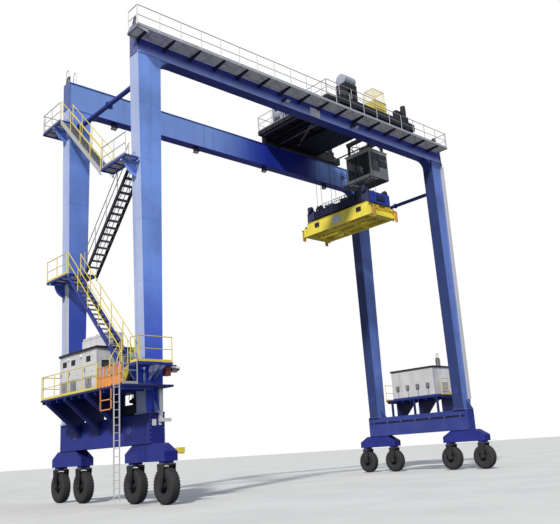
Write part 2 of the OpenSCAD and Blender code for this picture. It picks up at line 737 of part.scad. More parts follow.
module trolley_frame() {
  color(DARK) difference() {
    union() {
      for (sy = [-1, 1]) span_box(
        [axle_x[0] - carriage_rear, sy * col_y - carriage_w / 2, wheel_z - bearing_drop],
        [axle_x[1] + carriage_front, sy * col_y + carriage_w / 2, platform_top]);
      span_box([platform_x[0], -platform_w / 2, platform_z], [platform_x[1], platform_w / 2, platform_top]);
      for (x = [axle_x[0] + 250, platform_x[1] - cross_w])
        span_box([x, -col_y, platform_z], [x + cross_w, col_y, platform_top]);
      for (x = hanger_x) span_box([x, -col_y, platform_z], [x + cross_w / 2, cab_y + cab_w, platform_top]);
      for (x = hanger_x, y = [cab_y + 100, cab_y + cab_w - 250])
        span_box([x, y, cab_z + cab_h], [x + hanger_w, y + hanger_w, platform_z + 1]);
    }
    for (x = axle_x, sy = [-1, 1]) {
      span_box([x - trolley_wheel_d / 2 - wheel_room, sy * col_y - 90, 0],
        [x + trolley_wheel_d / 2 + wheel_room, sy * col_y + 90, platform_top - 30]);
      bar_y(sy * col_y - carriage_w / 2 - 1, sy * col_y + carriage_w / 2 + 1, x, wheel_z,
        shaft_d / 2 + pin_gap);
    }
  }
}

tread_half = rail_w / 2 + 5;
flange_t = 24;
flange_h = 25;

// Two wheels on one shaft; the flanges are rings beside the treads
module wheelset(x) {
  color(DARK) {
    bar_y(-col_y - carriage_w / 2 + 5, col_y + carriage_w / 2 - 5, x, wheel_z, shaft_d / 2);
    for (sy = [-1, 1]) {
      bar_y(sy * col_y - tread_half, sy * col_y + tread_half, x, wheel_z, trolley_wheel_d / 2 - pin_gap);
      for (s = [-1, 1]) flange_ring(x, sy * col_y + s * (tread_half + pin_gap + flange_t / 2));
    }
  }
}

module flange_ring(x, y) {
  difference() {
    bar_y(y - flange_t / 2, y + flange_t / 2, x, wheel_z, trolley_wheel_d / 2 + flange_h);
    bar_y(y - flange_t, y + flange_t, x, wheel_z, shaft_d / 2 + pin_gap);
  }
}

module trolley_rails() {
  y = platform_w / 2 - tube;
  color(GREY) {
    rail_x(platform_x[0], platform_x[1], -y, platform_top);
    rail_x(platform_x[0], platform_x[1], y, platform_top);
    rail_y(-y + tube, y - tube, platform_x[0] + tube / 2, platform_top);
    rail_y(-y + tube, y - tube, platform_x[1] - tube / 2, platform_top);
  }
}

// Machinery on the platform: rope drum in two stands, gearbox, motors, drum housing, cabinets
drum_r = 450;
drum_l = 2500;
drum_z = platform_top + 780;
housing_r = 420;
housing_l = 1100;
housing_h = 2040;
housing_off = 2200;
housing_x = platform_x[0] + housing_off;
housing_y = -3020;
cabinet = [1100, 1800, 1600];
cabinet_off = 450;

module hoist_machinery() {
  gear_y = drum_l / 2 + 160;
  motor_z = platform_top + motor_up;
  color(DARK) {
    bar_y(-drum_l / 2, drum_l / 2, hoist_x, drum_z, drum_r);
    for (y = [-drum_l / 2, drum_l / 2]) bar_y(y - 60, y + 60, hoist_x, drum_z, drum_r + 70);
    for (y = [-drum_l / 2 - 160, drum_l / 2 + 40]) slab_y(y, y + 120) translate([hoist_x, 0])
      polygon([[-stand_w, platform_top], [stand_w, platform_top], [yoke_w, drum_z + yoke_w],
        [-yoke_w, drum_z + yoke_w]]);
    cube_at([gearbox[0], gearbox[1], gearbox[2]], [hoist_x - gearbox[0] + 200, gear_y, platform_top]);
    bar_y(motor_y, gear_y, motor_x, motor_z, motor_r);
    cube_at([2 * motor_r - 100, 1000, motor_up - motor_r + 10],
      [motor_x - motor_r + 50, motor_y, platform_top]);
    bar_y(gear_y + gearbox[1], gear_y + gearbox[1] + 120, motor_x + 2 * motor_r - 100, motor_z, motor_r + 30);
    cube_at([260, 140, motor_up], [motor_x + 2 * motor_r - 230, gear_y + gearbox[1] - 10, platform_top]);
  }
}
stand_w = 450;
gearbox = [1100, 480, 1250];
motor_x = hoist_x - 1150;
motor_y = 300;
motor_r = 300;
motor_up = 480;

// Rounded cover over the hoist motor, and the control cabinet
module hoist_housing() {
  color(GREY) {
    slab_x(housing_x, housing_x + housing_l) {
      translate([housing_y, platform_top]) square([2 * housing_r, housing_h]);
      translate([housing_y + housing_r, platform_top + housing_h]) circle(r = housing_r, $fn = 96);
    }
    cube_at(cabinet, [platform_x[0] + cabinet_off, cabinet_off, platform_top]);
  }
}

// Way down to the cab: a yellow cage on the deck and a railed ledge beside the cab
cage_x = platform_x[1] - 1250;
cage_y = -platform_w / 2 + 120;
cage_w = 1150;
cage_h = 1900;
ledge_w = 700;

module cab_access() {
  color(YELLOW) {
    for (x = [cage_x, cage_x + cage_w]) {
      rail_y(cage_y, cage_y + ledge_w, x + tube / 2, platform_top);
      for (y = [cage_y - tube, cage_y + ledge_w]) cube_at([tube, tube, cage_h], [x, y, platform_top]);
      cube_at([tube, ledge_w + 2 * tube, tube], [x, cage_y - tube, platform_top + cage_h]);
    }
    for (y = [cage_y - tube, cage_y + ledge_w])
      cube_at([cage_w + tube, tube, tube], [cage_x, y, platform_top + cage_h]);
  }
  color(GREY) {
    cube_at([cab_l, ledge_w, 60], [cab_x, cab_y + cab_w, cab_z]);
    rail_x(cab_x, cab_x + cab_l, cab_y + cab_w + ledge_w - tube / 2, cab_z + 60);
    rail_y(cab_y + cab_w + 60, cab_y + cab_w + ledge_w - tube, cab_x + tube / 2, cab_z + 60);
    for (x = [cab_x + cab_l - 560, cab_x + cab_l - 120]) cube_at([stile, stile, platform_z - cab_z - 60],
      [x, cab_y + cab_w + ledge_w - 160, cab_z + 60]);
    for (z = [cab_z + 300 : rung_pitch : platform_z - 100])
      translate([cab_x + cab_l - 525, cab_y + cab_w + ledge_w - 140, z]) rotate([0, 90, 0])
        cylinder(r = 13, h = 410, $fn = 8);
  }
}

// Cab shell: floor, roof, corner posts and low walls round wide windows
wall = 50;
sill_low = 260;
head_low = 260;

module cab() {
  color(GREY) difference() {
    union() {
      span_box([cab_x, cab_y, cab_z], [cab_x + cab_l, cab_y + cab_w, cab_z + cab_h]);
      span_box([cab_x - 90, cab_y - 60, cab_z + cab_h - 70],
        [cab_x + cab_l + 30, cab_y + cab_w + 60, cab_z + cab_h]);
    }
    span_box([cab_x + wall, cab_y + wall, cab_z + 60],
      [cab_x + cab_l - wall, cab_y + cab_w - wall, cab_z + cab_h - 90]);
    for (y = [cab_y + 110, cab_y + cab_w / 2 + 35]) span_box([cab_x - 1, y, cab_z + sill_low],
      [cab_x + wall + 1, y + cab_w / 2 - 145, cab_z + cab_h - head_low]);
    span_box([cab_x + 220, cab_y + 300, cab_z - 1], [cab_x + 900, cab_y + cab_w - 300, cab_z + 61]);
    for (x = [cab_x + 110, cab_x + cab_l / 2 + 35], y = [cab_y - 1, cab_y + cab_w - wall - 1])
      span_box([x, y, cab_z + (x > cab_x + 200 ? 900 : 500)],
        [x + cab_l / 2 - 145, y + wall + 2, cab_z + cab_h - head_low]);
    span_box([cab_x + cab_l - wall - 1, cab_y + 700, cab_z + 1000],
      [cab_x + cab_l + 1, cab_y + cab_w - 700, cab_z + cab_h - head_low]);
  }
}

// Hoist

headblock_z = spreader_z + spreader_h;
headblock_top = headblock_z + headblock_h;
sheave_r = 220;
sheave_z = headblock_top - sheave_r;
saddle_y = headblock_l / 2 - 350;

module hoist_ropes() {
  fall = sheave_r + rope_d / 2 + pin_gap;
  color(DARK) for (sx = [-1, 1], sy = [-1, 1], k = [-1, 1])
    translate([hoist_x + sx * rope_pitch_x / 2 + k * fall, sy * rope_pitch_y / 2, sheave_z + pin_gap])
      cylinder(d = rope_d, h = platform_z - sheave_z - 2 * pin_gap, $fn = 24);
}

// Headblock: two long beams, end blocks over the spreader, cross beams with the rope sheaves
beam_off = 850;

module headblock() {
  color(DARK) difference() {
    union() {
      for (sx = [-1, 1]) span_box([hoist_x + sx * beam_off - 130, -headblock_l / 2 + 500, headblock_z + 260],
        [hoist_x + sx * beam_off + 130, headblock_l / 2 - 500, sheave_z]);
      for (sy = [-1, 1]) {
        span_box([hoist_x - 1000, sy * saddle_y - 350, headblock_z],
          [hoist_x + 1000, sy * saddle_y + 350, headblock_top - 150]);
        span_box([hoist_x - 980, sy * rope_pitch_y / 2 - 160, headblock_z + 300],
          [hoist_x + 980, sy * rope_pitch_y / 2 + 160, sheave_z]);
        for (sx = [-1, 1]) bar_y(sy * rope_pitch_y / 2 - 90, sy * rope_pitch_y / 2 + 90,
          hoist_x + sx * rope_pitch_x / 2, sheave_z, sheave_r);
      }
      span_box([hoist_x - beam_off, -620, headblock_z + 300], [hoist_x + beam_off, 620, sheave_z - 60]);
      translate([hoist_x, 0, sheave_z - 61]) cylinder(r = 430, h = basket_h, $fn = 64);
    }
    translate([hoist_x, 0, sheave_z - 61 + 60]) cylinder(r = 400, h = basket_h, $fn = 64);
    for (sy = [-1, 1]) span_box([hoist_x - 620, sy * saddle_y - 200, headblock_z - 1],
      [hoist_x + 620, sy * saddle_y + 200, headblock_z + 320]);
  }
}
basket_h = 520;

// Spreader: main frame round four telescopic tubes, two from each end beam
spreader_l = lock_pitch_y - end_beam_w - 2 * end_gap;
tube_w = 200;
tube_h = 280;
tube_x = [-650, 220];
slide_gap = 6;
tube_z = spreader_z + 90;
side_off = 1130;

// Low X side of a tube of the end at sy, from the hoist centre
function tube_low(sy, x) = sy * x - (sy < 0 ? tube_w : 0);

module spreader_frame() {
  color(YELLOW) difference() {
    union() {
      for (sx = [-1, 1]) span_box([hoist_x + sx * side_off - 60, -spreader_l / 2, spreader_z + 20],
        [hoist_x + sx * side_off + 60, spreader_l / 2, spreader_z + spreader_h]);
      for (y = [-spreader_l / 2, -900, 700, spreader_l / 2 - 200])
        span_box([hoist_x - side_off, y, spreader_z + 20], [hoist_x + side_off, y + 200, spreader_z + 560]);
      for (sy = [-1, 1]) span_box([hoist_x - side_off, sy * saddle_y - 250, spreader_z + 560 - 1],
        [hoist_x + side_off, sy * saddle_y + 250, spreader_z + spreader_h]);
    }
    for (sy = [-1, 1], x = tube_x)
      span_box([hoist_x + tube_low(sy, x) - slide_gap, -spreader_l, tube_z - pin_gap],
        [hoist_x + tube_low(sy, x) + tube_w + slide_gap, spreader_l, tube_z + tube_h + slide_gap]);
  }
}

lock_y = lock_pitch_y / 2;
lock_r = 30;
flipper_y = lock_y + end_beam_w / 2 + 75;
flipper_z = spreader_z + end_beam_h - 70;
flipper_d = 70;

// End beam for the end at sy, with its two tubes, twistlocks and flipper lugs
module end_beam(sy) {
  color(YELLOW) difference() {
    union() {
      span_box([hoist_x - spreader_w / 2, sy * lock_y - end_beam_w / 2, spreader_z],
        [hoist_x + spreader_w / 2, sy * lock_y + end_beam_w / 2, spreader_z + end_beam_h]);
      for (x = tube_x) span_box([hoist_x + tube_low(sy, x), min(sy * lock_y, sy * (lock_y - tube_l)), tube_z],
        [hoist_x + tube_low(sy, x) + tube_w, max(sy * lock_y, sy * (lock_y - tube_l)), tube_z + tube_h]);
      for (sx = [-1, 1]) {
        translate([hoist_x + sx * lock_pitch_x / 2, sy * lock_y, spreader_z - lock_h])
          cylinder(r = lock_r, h = lock_h + 1, $fn = 48);
        span_box([hoist_x + sx * 700 - 40, min(sy * lock_y, sy * (flipper_y + 60)), flipper_z - 60],
          [hoist_x + sx * 700 + 40, max(sy * lock_y, sy * (flipper_y + 60)), flipper_z + 60]);
      }
    }
    for (sx = [-1, 1]) bar_x(hoist_x + sx * 700 - 41, hoist_x + sx * 700 + 41, sy * flipper_y, flipper_z,
      flipper_d / 2 + pin_gap);
  }
}
lock_h = 110;

guide_x = spreader_w / 2 - 110;

// Flippers for the end at sy: two corner guides on one shaft
module flippers(sy) {
  color(YELLOW) {
    bar_x(hoist_x - guide_x - 150, hoist_x + guide_x + 150, sy * flipper_y, flipper_z, flipper_d / 2);
    for (sx = [-1, 1]) slab_x(hoist_x + sx * guide_x - 130, hoist_x + sx * guide_x + 130)
      hull() {
        translate([sy * flipper_y, flipper_z]) circle(r = 55, $fn = 32);
        translate([sy * (flipper_y + 30) - 20, flipper_z - 720]) square([40, 40]);
      }
  }
}

sill(-1);  // sill_left
sill(1);  // sill_right
bogie_beams();
near_left_column();  // column_near_left
far_left_column();  // column_far_left
column(1, -1);  // column_near_right
column(1, 1);  // column_far_right
side_ties();
girder(-1);  // girder_near
girder(1);  // girder_far
trolley_track();
walkway();
walkway_rails();
equipment_decks();
deck_rails();
gates();
electrical_house();
roof_cooler();
power_pack();
landings();
landing_rails();
stair_lower();
stair_middle();
stair_upper();
ladders();
floodlights();
cable_ducts();
for (n = [1 : 8]) {
  fork(n);
  wheel(n);
}
trolley_frame();
trolley_rails();
hoist_machinery();
hoist_housing();
cab();
cab_access();
wheelset(axle_x[0]);  // wheelset_rear
wheelset(axle_x[1]);  // wheelset_front
hoist_ropes();
headblock();
spreader_frame();
end_beam(-1);  // end_beam_near
end_beam(1);  // end_beam_far
flippers(-1);  // flippers_near
flippers(1);  // flippers_far
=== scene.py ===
"""Rubber tyred gantry crane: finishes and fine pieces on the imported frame, in metres.

X runs along the span, Y along the travel way and Z up, with the origin on the ground
in the middle of the portal.
"""
import logging
import math
from dataclasses import dataclass
from enum import Enum
from itertools import product
from typing import Any, Sequence, Union

import bpy
import numpy as np
from mathutils import Matrix, Vector


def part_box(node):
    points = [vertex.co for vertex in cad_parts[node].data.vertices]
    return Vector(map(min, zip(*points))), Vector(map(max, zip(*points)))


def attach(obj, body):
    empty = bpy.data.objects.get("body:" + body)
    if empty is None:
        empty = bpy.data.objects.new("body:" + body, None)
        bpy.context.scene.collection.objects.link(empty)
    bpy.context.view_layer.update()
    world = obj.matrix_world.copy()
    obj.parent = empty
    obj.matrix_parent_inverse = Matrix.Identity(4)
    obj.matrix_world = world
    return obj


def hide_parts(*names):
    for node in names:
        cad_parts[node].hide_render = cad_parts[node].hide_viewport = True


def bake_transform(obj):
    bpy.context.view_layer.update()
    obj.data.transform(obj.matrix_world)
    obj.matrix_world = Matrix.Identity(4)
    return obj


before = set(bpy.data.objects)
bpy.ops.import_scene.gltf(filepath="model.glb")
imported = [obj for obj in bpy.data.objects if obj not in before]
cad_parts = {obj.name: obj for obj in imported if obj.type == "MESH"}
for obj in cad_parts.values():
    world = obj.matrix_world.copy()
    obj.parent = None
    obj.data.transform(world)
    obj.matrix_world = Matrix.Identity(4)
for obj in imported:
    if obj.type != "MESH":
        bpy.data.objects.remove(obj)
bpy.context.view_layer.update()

log = logging.getLogger("crane")
Array = np.ndarray
Colour = tuple[float, float, float]
Place = tuple[float, float, float]


class Axis(Enum):
    """The axis that an outline is carried along."""

    X = 0
    Y = 1
    Z = 2


# Shaders


class Number:
    """A shader socket that carries a number; each operator adds a Math node."""

    def __init__(self, shader: "Shader", socket: bpy.types.NodeSocket) -> None:
        """Keeps the shader and the socket."""
        self.shader = shader
        self.socket = socket

    def maths(self, operation: str, *values: Union["Number", float]) -> "Number":
        """Adds one Math node.

        Args:
            operation: the node's operation.
            values: its inputs in order.

        Returns:
            The node's result.
        """
        node = self.shader.node("ShaderNodeMath", {"operation": operation}, dict(enumerate(values)))
        return Number(self.shader, node.outputs[0])

    def __add__(self, other: Union["Number", float]) -> "Number":
        """self + other."""
        return self.maths("ADD", self, other)

    __radd__ = __add__

    def __sub__(self, other: Union["Number", float]) -> "Number":
        """self - other."""
        return self.maths("SUBTRACT", self, other)

    def __rsub__(self, other: Union["Number", float]) -> "Number":
        """other - self."""
        return self.maths("SUBTRACT", other, self)

    def __mul__(self, other: Union["Number", float]) -> "Number":
        """self * other."""
        return self.maths("MULTIPLY", self, other)

    __rmul__ = __mul__

    def __truediv__(self, other: Union["Number", float]) -> "Number":
        """self / other."""
        return self.maths("DIVIDE", self, other)

    def __neg__(self) -> "Number":
        """-self."""
        return self.maths("MULTIPLY", self, -1.0)

    def wave(self, pitch: float) -> "Number":
        """0 at each multiple of the pitch, rising to 1 half way between two of them."""
        return (self / pitch).maths("PINGPONG", self / pitch, 0.5) * 2.0

    def ramp(self, low: float, high: float) -> "Number":
        """0 below low, 1 above high, and smooth between them.

        Args:
            low: where the ramp starts.
            high: where it ends.

        Returns:
            The ramp's result.
        """
        inputs = {"Value": self, "From Min": low, "From Max": high}
        settings = {"interpolation_type": "SMOOTHSTEP"}
        return Number(self.shader, self.shader.node("ShaderNodeMapRange", settings, inputs).outputs[0])


class Shader:
    """The node tree of one material, round one Principled surface."""

    def __init__(self, name: str) -> None:
        """Makes the material with its surface and output.

        Args:
            name: the material's name.
        """
        self.material = bpy.data.materials.new(name)
        self.material.use_nodes = True
        self.tree = self.material.node_tree
        self.tree.nodes.clear()
        self.surface = self.node("ShaderNodeBsdfPrincipled")
        self.node("ShaderNodeOutputMaterial", {}, {"Surface": self.surface.outputs[0]})
        self.coordinates = self.node("ShaderNodeTexCoord")
        place = self.node("ShaderNodeSeparateXYZ", {}, {0: self.coordinates.outputs["Object"]})
        facing = self.node("ShaderNodeSeparateXYZ", {}, {0: self.coordinates.outputs["Normal"]})
        self.place = [Number(self, socket) for socket in place.outputs]
        self.facing = [Number(self, socket) for socket in facing.outputs]

    def node(
        self,
        kind: str,
        settings: dict[str, Any] | None = None,
        inputs: dict[Union[int, str], Any] | None = None,
    ) -> bpy.types.Node:
        """Adds a node.

        Args:
            kind: the node's type.
            settings: its settings, set first.
            inputs: values or links for its sockets, by name or number.

        Returns:
            The node.
        """
        node = self.tree.nodes.new(kind)
        for key, value in (settings or {}).items():
            setattr(node, key, value)
        for key, value in (inputs or {}).items():
            self.set(node.inputs[key], value)
        return node

    def set(self, socket: bpy.types.NodeSocket, value: Any) -> None:
        """Links a socket to a Number or another socket, or gives it a plain value.

        Args:
            socket: the input to set.
            value: a Number, a socket, a colour or a plain value.
        """
        value = value.socket if isinstance(value, Number) else value
        if isinstance(value, bpy.types.NodeSocket):
            self.tree.links.new(value, socket)
        else:
            socket.default_value = (*value, 1.0) if socket.type == "RGBA" else value

    def noise(self, scale: float, stretch: Place = (1, 1, 1), detail: float = 3.0) -> Number:
        """Noise over the object.

        Args:
            scale: how many features there are in a metre.
            stretch: factors on the three axes; under 1 draws the pattern out.
            detail: how many finer layers it has.

        Returns:
            The noise, about 0.5.
        """
        inputs = {"Vector": self.coordinates.outputs["Object"], "Scale": stretch}
        mapping = self.node("ShaderNodeMapping", {}, inputs).outputs[0]
        inputs = {"Vector": mapping, "Scale": scale, "Detail": detail, "Roughness": 0.55}
        return Number(self, self.node("ShaderNodeTexNoise", {}, inputs).outputs[0])

    def mix(self, share: Union[Number, float], first: Any, second: Any) -> bpy.types.NodeSocket:
        """Colour between two colours: (1 - share) first + share second."""
        node = self.node("ShaderNodeMix", {"data_type": "RGBA"}, {0: share, 6: first, 7: second})
        return node.outputs[2]

    def tint(self, colour: Any, low: float, high: float, share: Number) -> bpy.types.NodeSocket:
        """The colour times a grey that goes from low to high with the share.

        Args:
            colour: a colour or a socket with one.
            low: the grey where the share is 0.
            high: the grey where it is 1.
            share: the share.

        Returns:
            The socket of the product.
        """
        grey = self.mix(share, (low, low, low), (high, high, high))
        settings = {"data_type": "RGBA", "blend_type": "MULTIPLY"}
        return self.node("ShaderNodeMix", settings, {0: 1.0, 6: colour, 7: grey}).outputs[2]

    def bump(self, height: Number, distance: float, strength: float = 1.0) -> None:
        """Raises the surface by the height times the distance in metres."""
        inputs = {"Height": height, "Distance": distance, "Strength": strength}
        self.set(self.surface.inputs["Normal"], self.node("ShaderNodeBump", {}, inputs).outputs[0])

    def finish(self, **inputs: Any) -> bpy.types.Material:
        """Sets the surface's sockets.

        Args:
            inputs: a value for each socket, with underscores for the spaces in its name.

        Returns:
            The material.
        """
        for key, value in inputs.items():
            self.set(self.surface.inputs[key.replace("_", " ")], value)
        return self.material


RUST: Colour = (0.16, 0.062, 0.028)
DUST: Colour = (0.36, 0.33, 0.29)


@dataclass(frozen=True)
class Surface:
    """What every finish has.

    Attributes:
        name: the material's name.
    """

    name: str


@dataclass(frozen=True)
class Paint(Surface):
    """Painted steel that has stood outside: streaks, dust, chips and rust, with painted light and shade
    on the faces that look towards -X and along set ramps.

    Attributes:
        colour: the fresh paint.
        facing_light_colour: painted light and shade, the colour that faces which look towards -X turn to.
        facing_light_share: how far those faces turn to it.
        rough: roughness of clean paint.
        sheen: how strongly it mirrors its surroundings.
        streaks: how strongly rain has darkened it in upright streaks.
        rust: share of the surface that shows rust.
        grime: strength of the dust that lies on upper faces and low parts.
        seam_axis: axis across which weld seams repeat, or None.
        seam_pitch: distance between two weld seams.
        seam_start: place of one of them.
        light_and_shade_ramps: ramps (axis number, from, to) of painted light and shade, along which the
            front faces turn to light_and_shade_colour.
        light_and_shade_colour: the painted colour at their far ends.
    """

    colour: Colour
    facing_light_colour: Colour = (0.6, 0.62, 0.75)
    facing_light_share: float = 0.0
    rough: float = 0.42
    sheen: float = 0.5
    streaks: float = 0.25
    rust: float = 0.35
    grime: float = 0.3
    seam_axis: Axis | None = None
    seam_pitch: float = 2.4
    seam_start: float = 0.0
    light_and_shade_ramps: tuple[tuple[int, float, float], ...] = ()
    light_and_shade_colour: Colour = (0.08, 0.15, 0.62)

    def material(self) -> bpy.types.Material:
        """Colour = fresh paint, mottled, with painted light and shade on -X faces and along ramps on
        front faces, then streaked, dusted, rusted and seamed in that order.

        Returns:
            The material.
        """
        s = Shader(self.name)
        x, y, z = s.facing
        broad = s.noise(0.45)
        fine = s.noise(28.0, detail=4.0)
        runs = s.noise(2.2, (1.0, 1.0, 0.06), 5.0)
        colour = s.tint(self.colour, 0.80, 1.16, broad.ramp(0.3, 0.7))
        # Painted light and shade: faces that look towards -X turn to facing_light_colour, by up to
        # facing_light_share.
        if self.facing_light_share:
            facing_light = (-x).ramp(0.15, 0.85) * (broad * 0.5 + 0.72) * self.facing_light_share
            colour = s.mix(facing_light, colour, self.facing_light_colour)
        # Painted light and shade along the ramps, on faces that look towards -Y.
        for axis, start, end in self.light_and_shade_ramps:
            front = (-y).ramp(0.3, 0.9) * (broad * 0.4 + 0.75)
            colour = s.mix(s.place[axis].ramp(start, end) * front, colour, self.light_and_shade_colour)
        wet = (1.0 - z.ramp(0.5, 0.9)) * runs.ramp(0.5, 0.78) * self.streaks
        colour = s.mix(wet, colour, (0.035, 0.033, 0.036))
        low = 1.0 - s.place[2].ramp(0.6, 5.5)
        lying = z.ramp(0.6, 0.95) * 0.55 + low * 0.35
        dusty = lying * s.noise(1.3, detail=5.0).ramp(0.3, 0.75) * self.grime
        colour = s.mix(dusty, colour, DUST)
        spots = s.noise(7.0, (1.0, 1.0, 0.55), 8.0).ramp(0.66, 0.74)
        rusty = spots * s.noise(0.9).ramp(0.45, 0.7) * self.rust
        colour = s.mix(rusty, colour, RUST)
        height = fine * 0.25 + rusty * 0.8 + broad * 0.2
        if self.seam_axis is not None:
            along = s.place[self.seam_axis.value] - self.seam_start
            seam = 1.0 - along.wave(self.seam_pitch).ramp(0.0, 0.022)
            height = height + seam * 3.0
            colour = s.mix(seam * 0.22, colour, (0.05, 0.05, 0.06))
        s.bump(height, 0.0022, 0.5)
        rough = fine * 0.12 + dusty * 0.3 + rusty * 0.35 + (self.rough - 0.06)
        return s.finish(Base_Color=colour, Roughness=rough, Specular_IOR_Level=self.sheen)


@dataclass(frozen=True)
class Zinc(Surface):
    """Hot dipped galvanised steel: dull grey with spangle and stains.

    Attributes:
        colour: the mean colour.
        stain: strength of the brown stains.
    """

    colour: Colour = (0.42, 0.43, 0.44)
    stain: float = 0.35

    def material(self) -> bpy.types.Material:
        """Colour = grey times spangle cells, stained by drawn out noise.

        Returns:
            The material.
        """
        s = Shader(self.name)
        inputs = {"Vector": s.coordinates.outputs["Object"], "Scale": 45.0}
        spangle = Number(s, s.node("ShaderNodeTexVoronoi", {}, inputs).outputs["Distance"])
        colour = s.tint(self.colour, 0.82, 1.12, spangle.ramp(0.0, 0.7))
        stained = s.noise(3.0, (1.0, 1.0, 0.25), 6.0).ramp(0.58, 0.75) * self.stain
        colour = s.mix(stained, colour, (0.2, 0.13, 0.08))
        s.bump(spangle * 0.4 + s.noise(60.0) * 0.3, 0.0008, 0.5)
        rough = spangle * 0.2 + stained * 0.3 + 0.42
        return s.finish(Base_Color=colour, Roughness=rough, Metallic=0.55)


@dataclass(frozen=True)
class Tyre(Surface):
    """Tyre rubber: near black, dusty in patches, with a fine grain.

    Attributes:
        colour: clean rubber.
    """

    colour: Colour = (0.007, 0.007, 0.008)

    def material(self) -> bpy.types.Material:
        """Colour = rubber dusted by noise; bump = fine grain.

        Returns:
            The material.
        """
        s = Shader(self.name)
        patches = s.noise(3.5, detail=6.0)
        dusty = patches.ramp(0.42, 0.75) * 0.35
        colour = s.mix(dusty, self.colour, (0.028, 0.026, 0.024))
        s.bump(s.noise(90.0, detail=4.0) + patches * 0.6, 0.0015, 0.6)
        rough = dusty * 0.3 + 0.68
        return s.finish(Base_Color=colour, Roughness=rough, Specular_IOR_Level=0.06)


@dataclass(frozen=True)
class WireRope(Surface):
    """Greased wire rope: the strands run round it in a steep helix.

    Attributes:
        lay: distance that one strand takes along the rope to its neighbour's place.
    """

    lay: float = 0.03

    def material(self) -> bpy.types.Material:
        """Bump = waves along the rope's UV, v metres along plus u turns round; the same waves paint shade
        in the grooves between strands.

        Returns:
            The material.
        """
        s = Shader(self.name)
        uv = s.node("ShaderNodeSeparateXYZ", {}, {0: s.coordinates.outputs["UV"]})
        turn, along = (Number(s, uv.outputs[i]) for i in (0, 1))
        strand = (along / self.lay + turn * 6.0).wave(1.0)
        # Painted shade in the grooves between the strands, lighter on their crowns.
        colour = s.tint((0.085, 0.08, 0.075), 0.35, 1.3, strand.ramp(0.0, 0.6))
        s.bump(strand, 0.003, 0.8)
        return s.finish(Base_Color=colour, Roughness=s.noise(20.0) * 0.2 + 0.4, Metallic=0.7)


@dataclass(frozen=True)
class Steel(Surface):
    """Bare or machined steel: sheaves, rails, shafts and bolts.

    Attributes:
        colour: clean metal.
        rust: share of brown film on it.
    """

    colour: Colour = (0.32, 0.32, 0.33)
    rust: float = 0.5

    def material(self) -> bpy.types.Material:
        """Colour = metal under a patchy brown film.

        Returns:
            The material.
        """
        s = Shader(self.name)
        film = s.noise(5.0, detail=7.0).ramp(0.42, 0.66) * self.rust
        colour = s.mix(film, self.colour, (0.13, 0.07, 0.04))
        s.bump(s.noise(120.0) + film, 0.0006, 0.5)
        return s.finish(Base_Color=colour, Roughness=film * 0.35 + 0.34, Metallic=0.8)


@dataclass(frozen=True)
class Pane(Surface):
    """Tinted window glass with a little dust in patches.

    Attributes:
        colour: the tint.
        alpha: share of what lies behind it that it hides.
    """

    colour: Colour = (0.05, 0.075, 0.09)
    alpha: float = 0.55

    def material(self) -> bpy.types.Material:
        """Colour = tint under dust; roughness = a clean pane's plus the dust's.

        Returns:
            The material.
        """
        s = Shader(self.name)
        dust = s.noise(4.0, detail=6.0).ramp(0.5, 0.8)
        colour = s.mix(dust * 0.25, self.colour, (0.4, 0.4, 0.38))
        rough = dust * 0.25 + 0.06
        return s.finish(Base_Color=colour, Roughness=rough, Alpha=self.alpha, Coat_Weight=0.6)


@dataclass(frozen=True)
class Moulded(Surface):
    """Rubber hose, plastic caps, lamp glass and other plain moulded stuff.

    Attributes:
        colour: its colour.
        rough: its roughness.
        grain: depth of its grain in metres.
    """

    colour: Colour
    rough: float = 0.5
    grain: float = 0.0006

    def material(self) -> bpy.types.Material:
        """Colour = plain with broad mottling; bump = fine grain.

        Returns:
            The material.
        """
        s = Shader(self.name)
        patches = s.noise(6.0, detail=5.0)
        colour = s.tint(self.colour, 0.75, 1.2, patches.ramp(0.3, 0.7))
        s.bump(s.noise(150.0), self.grain, 0.5)
        return s.finish(Base_Color=colour, Roughness=patches * 0.15 + self.rough)


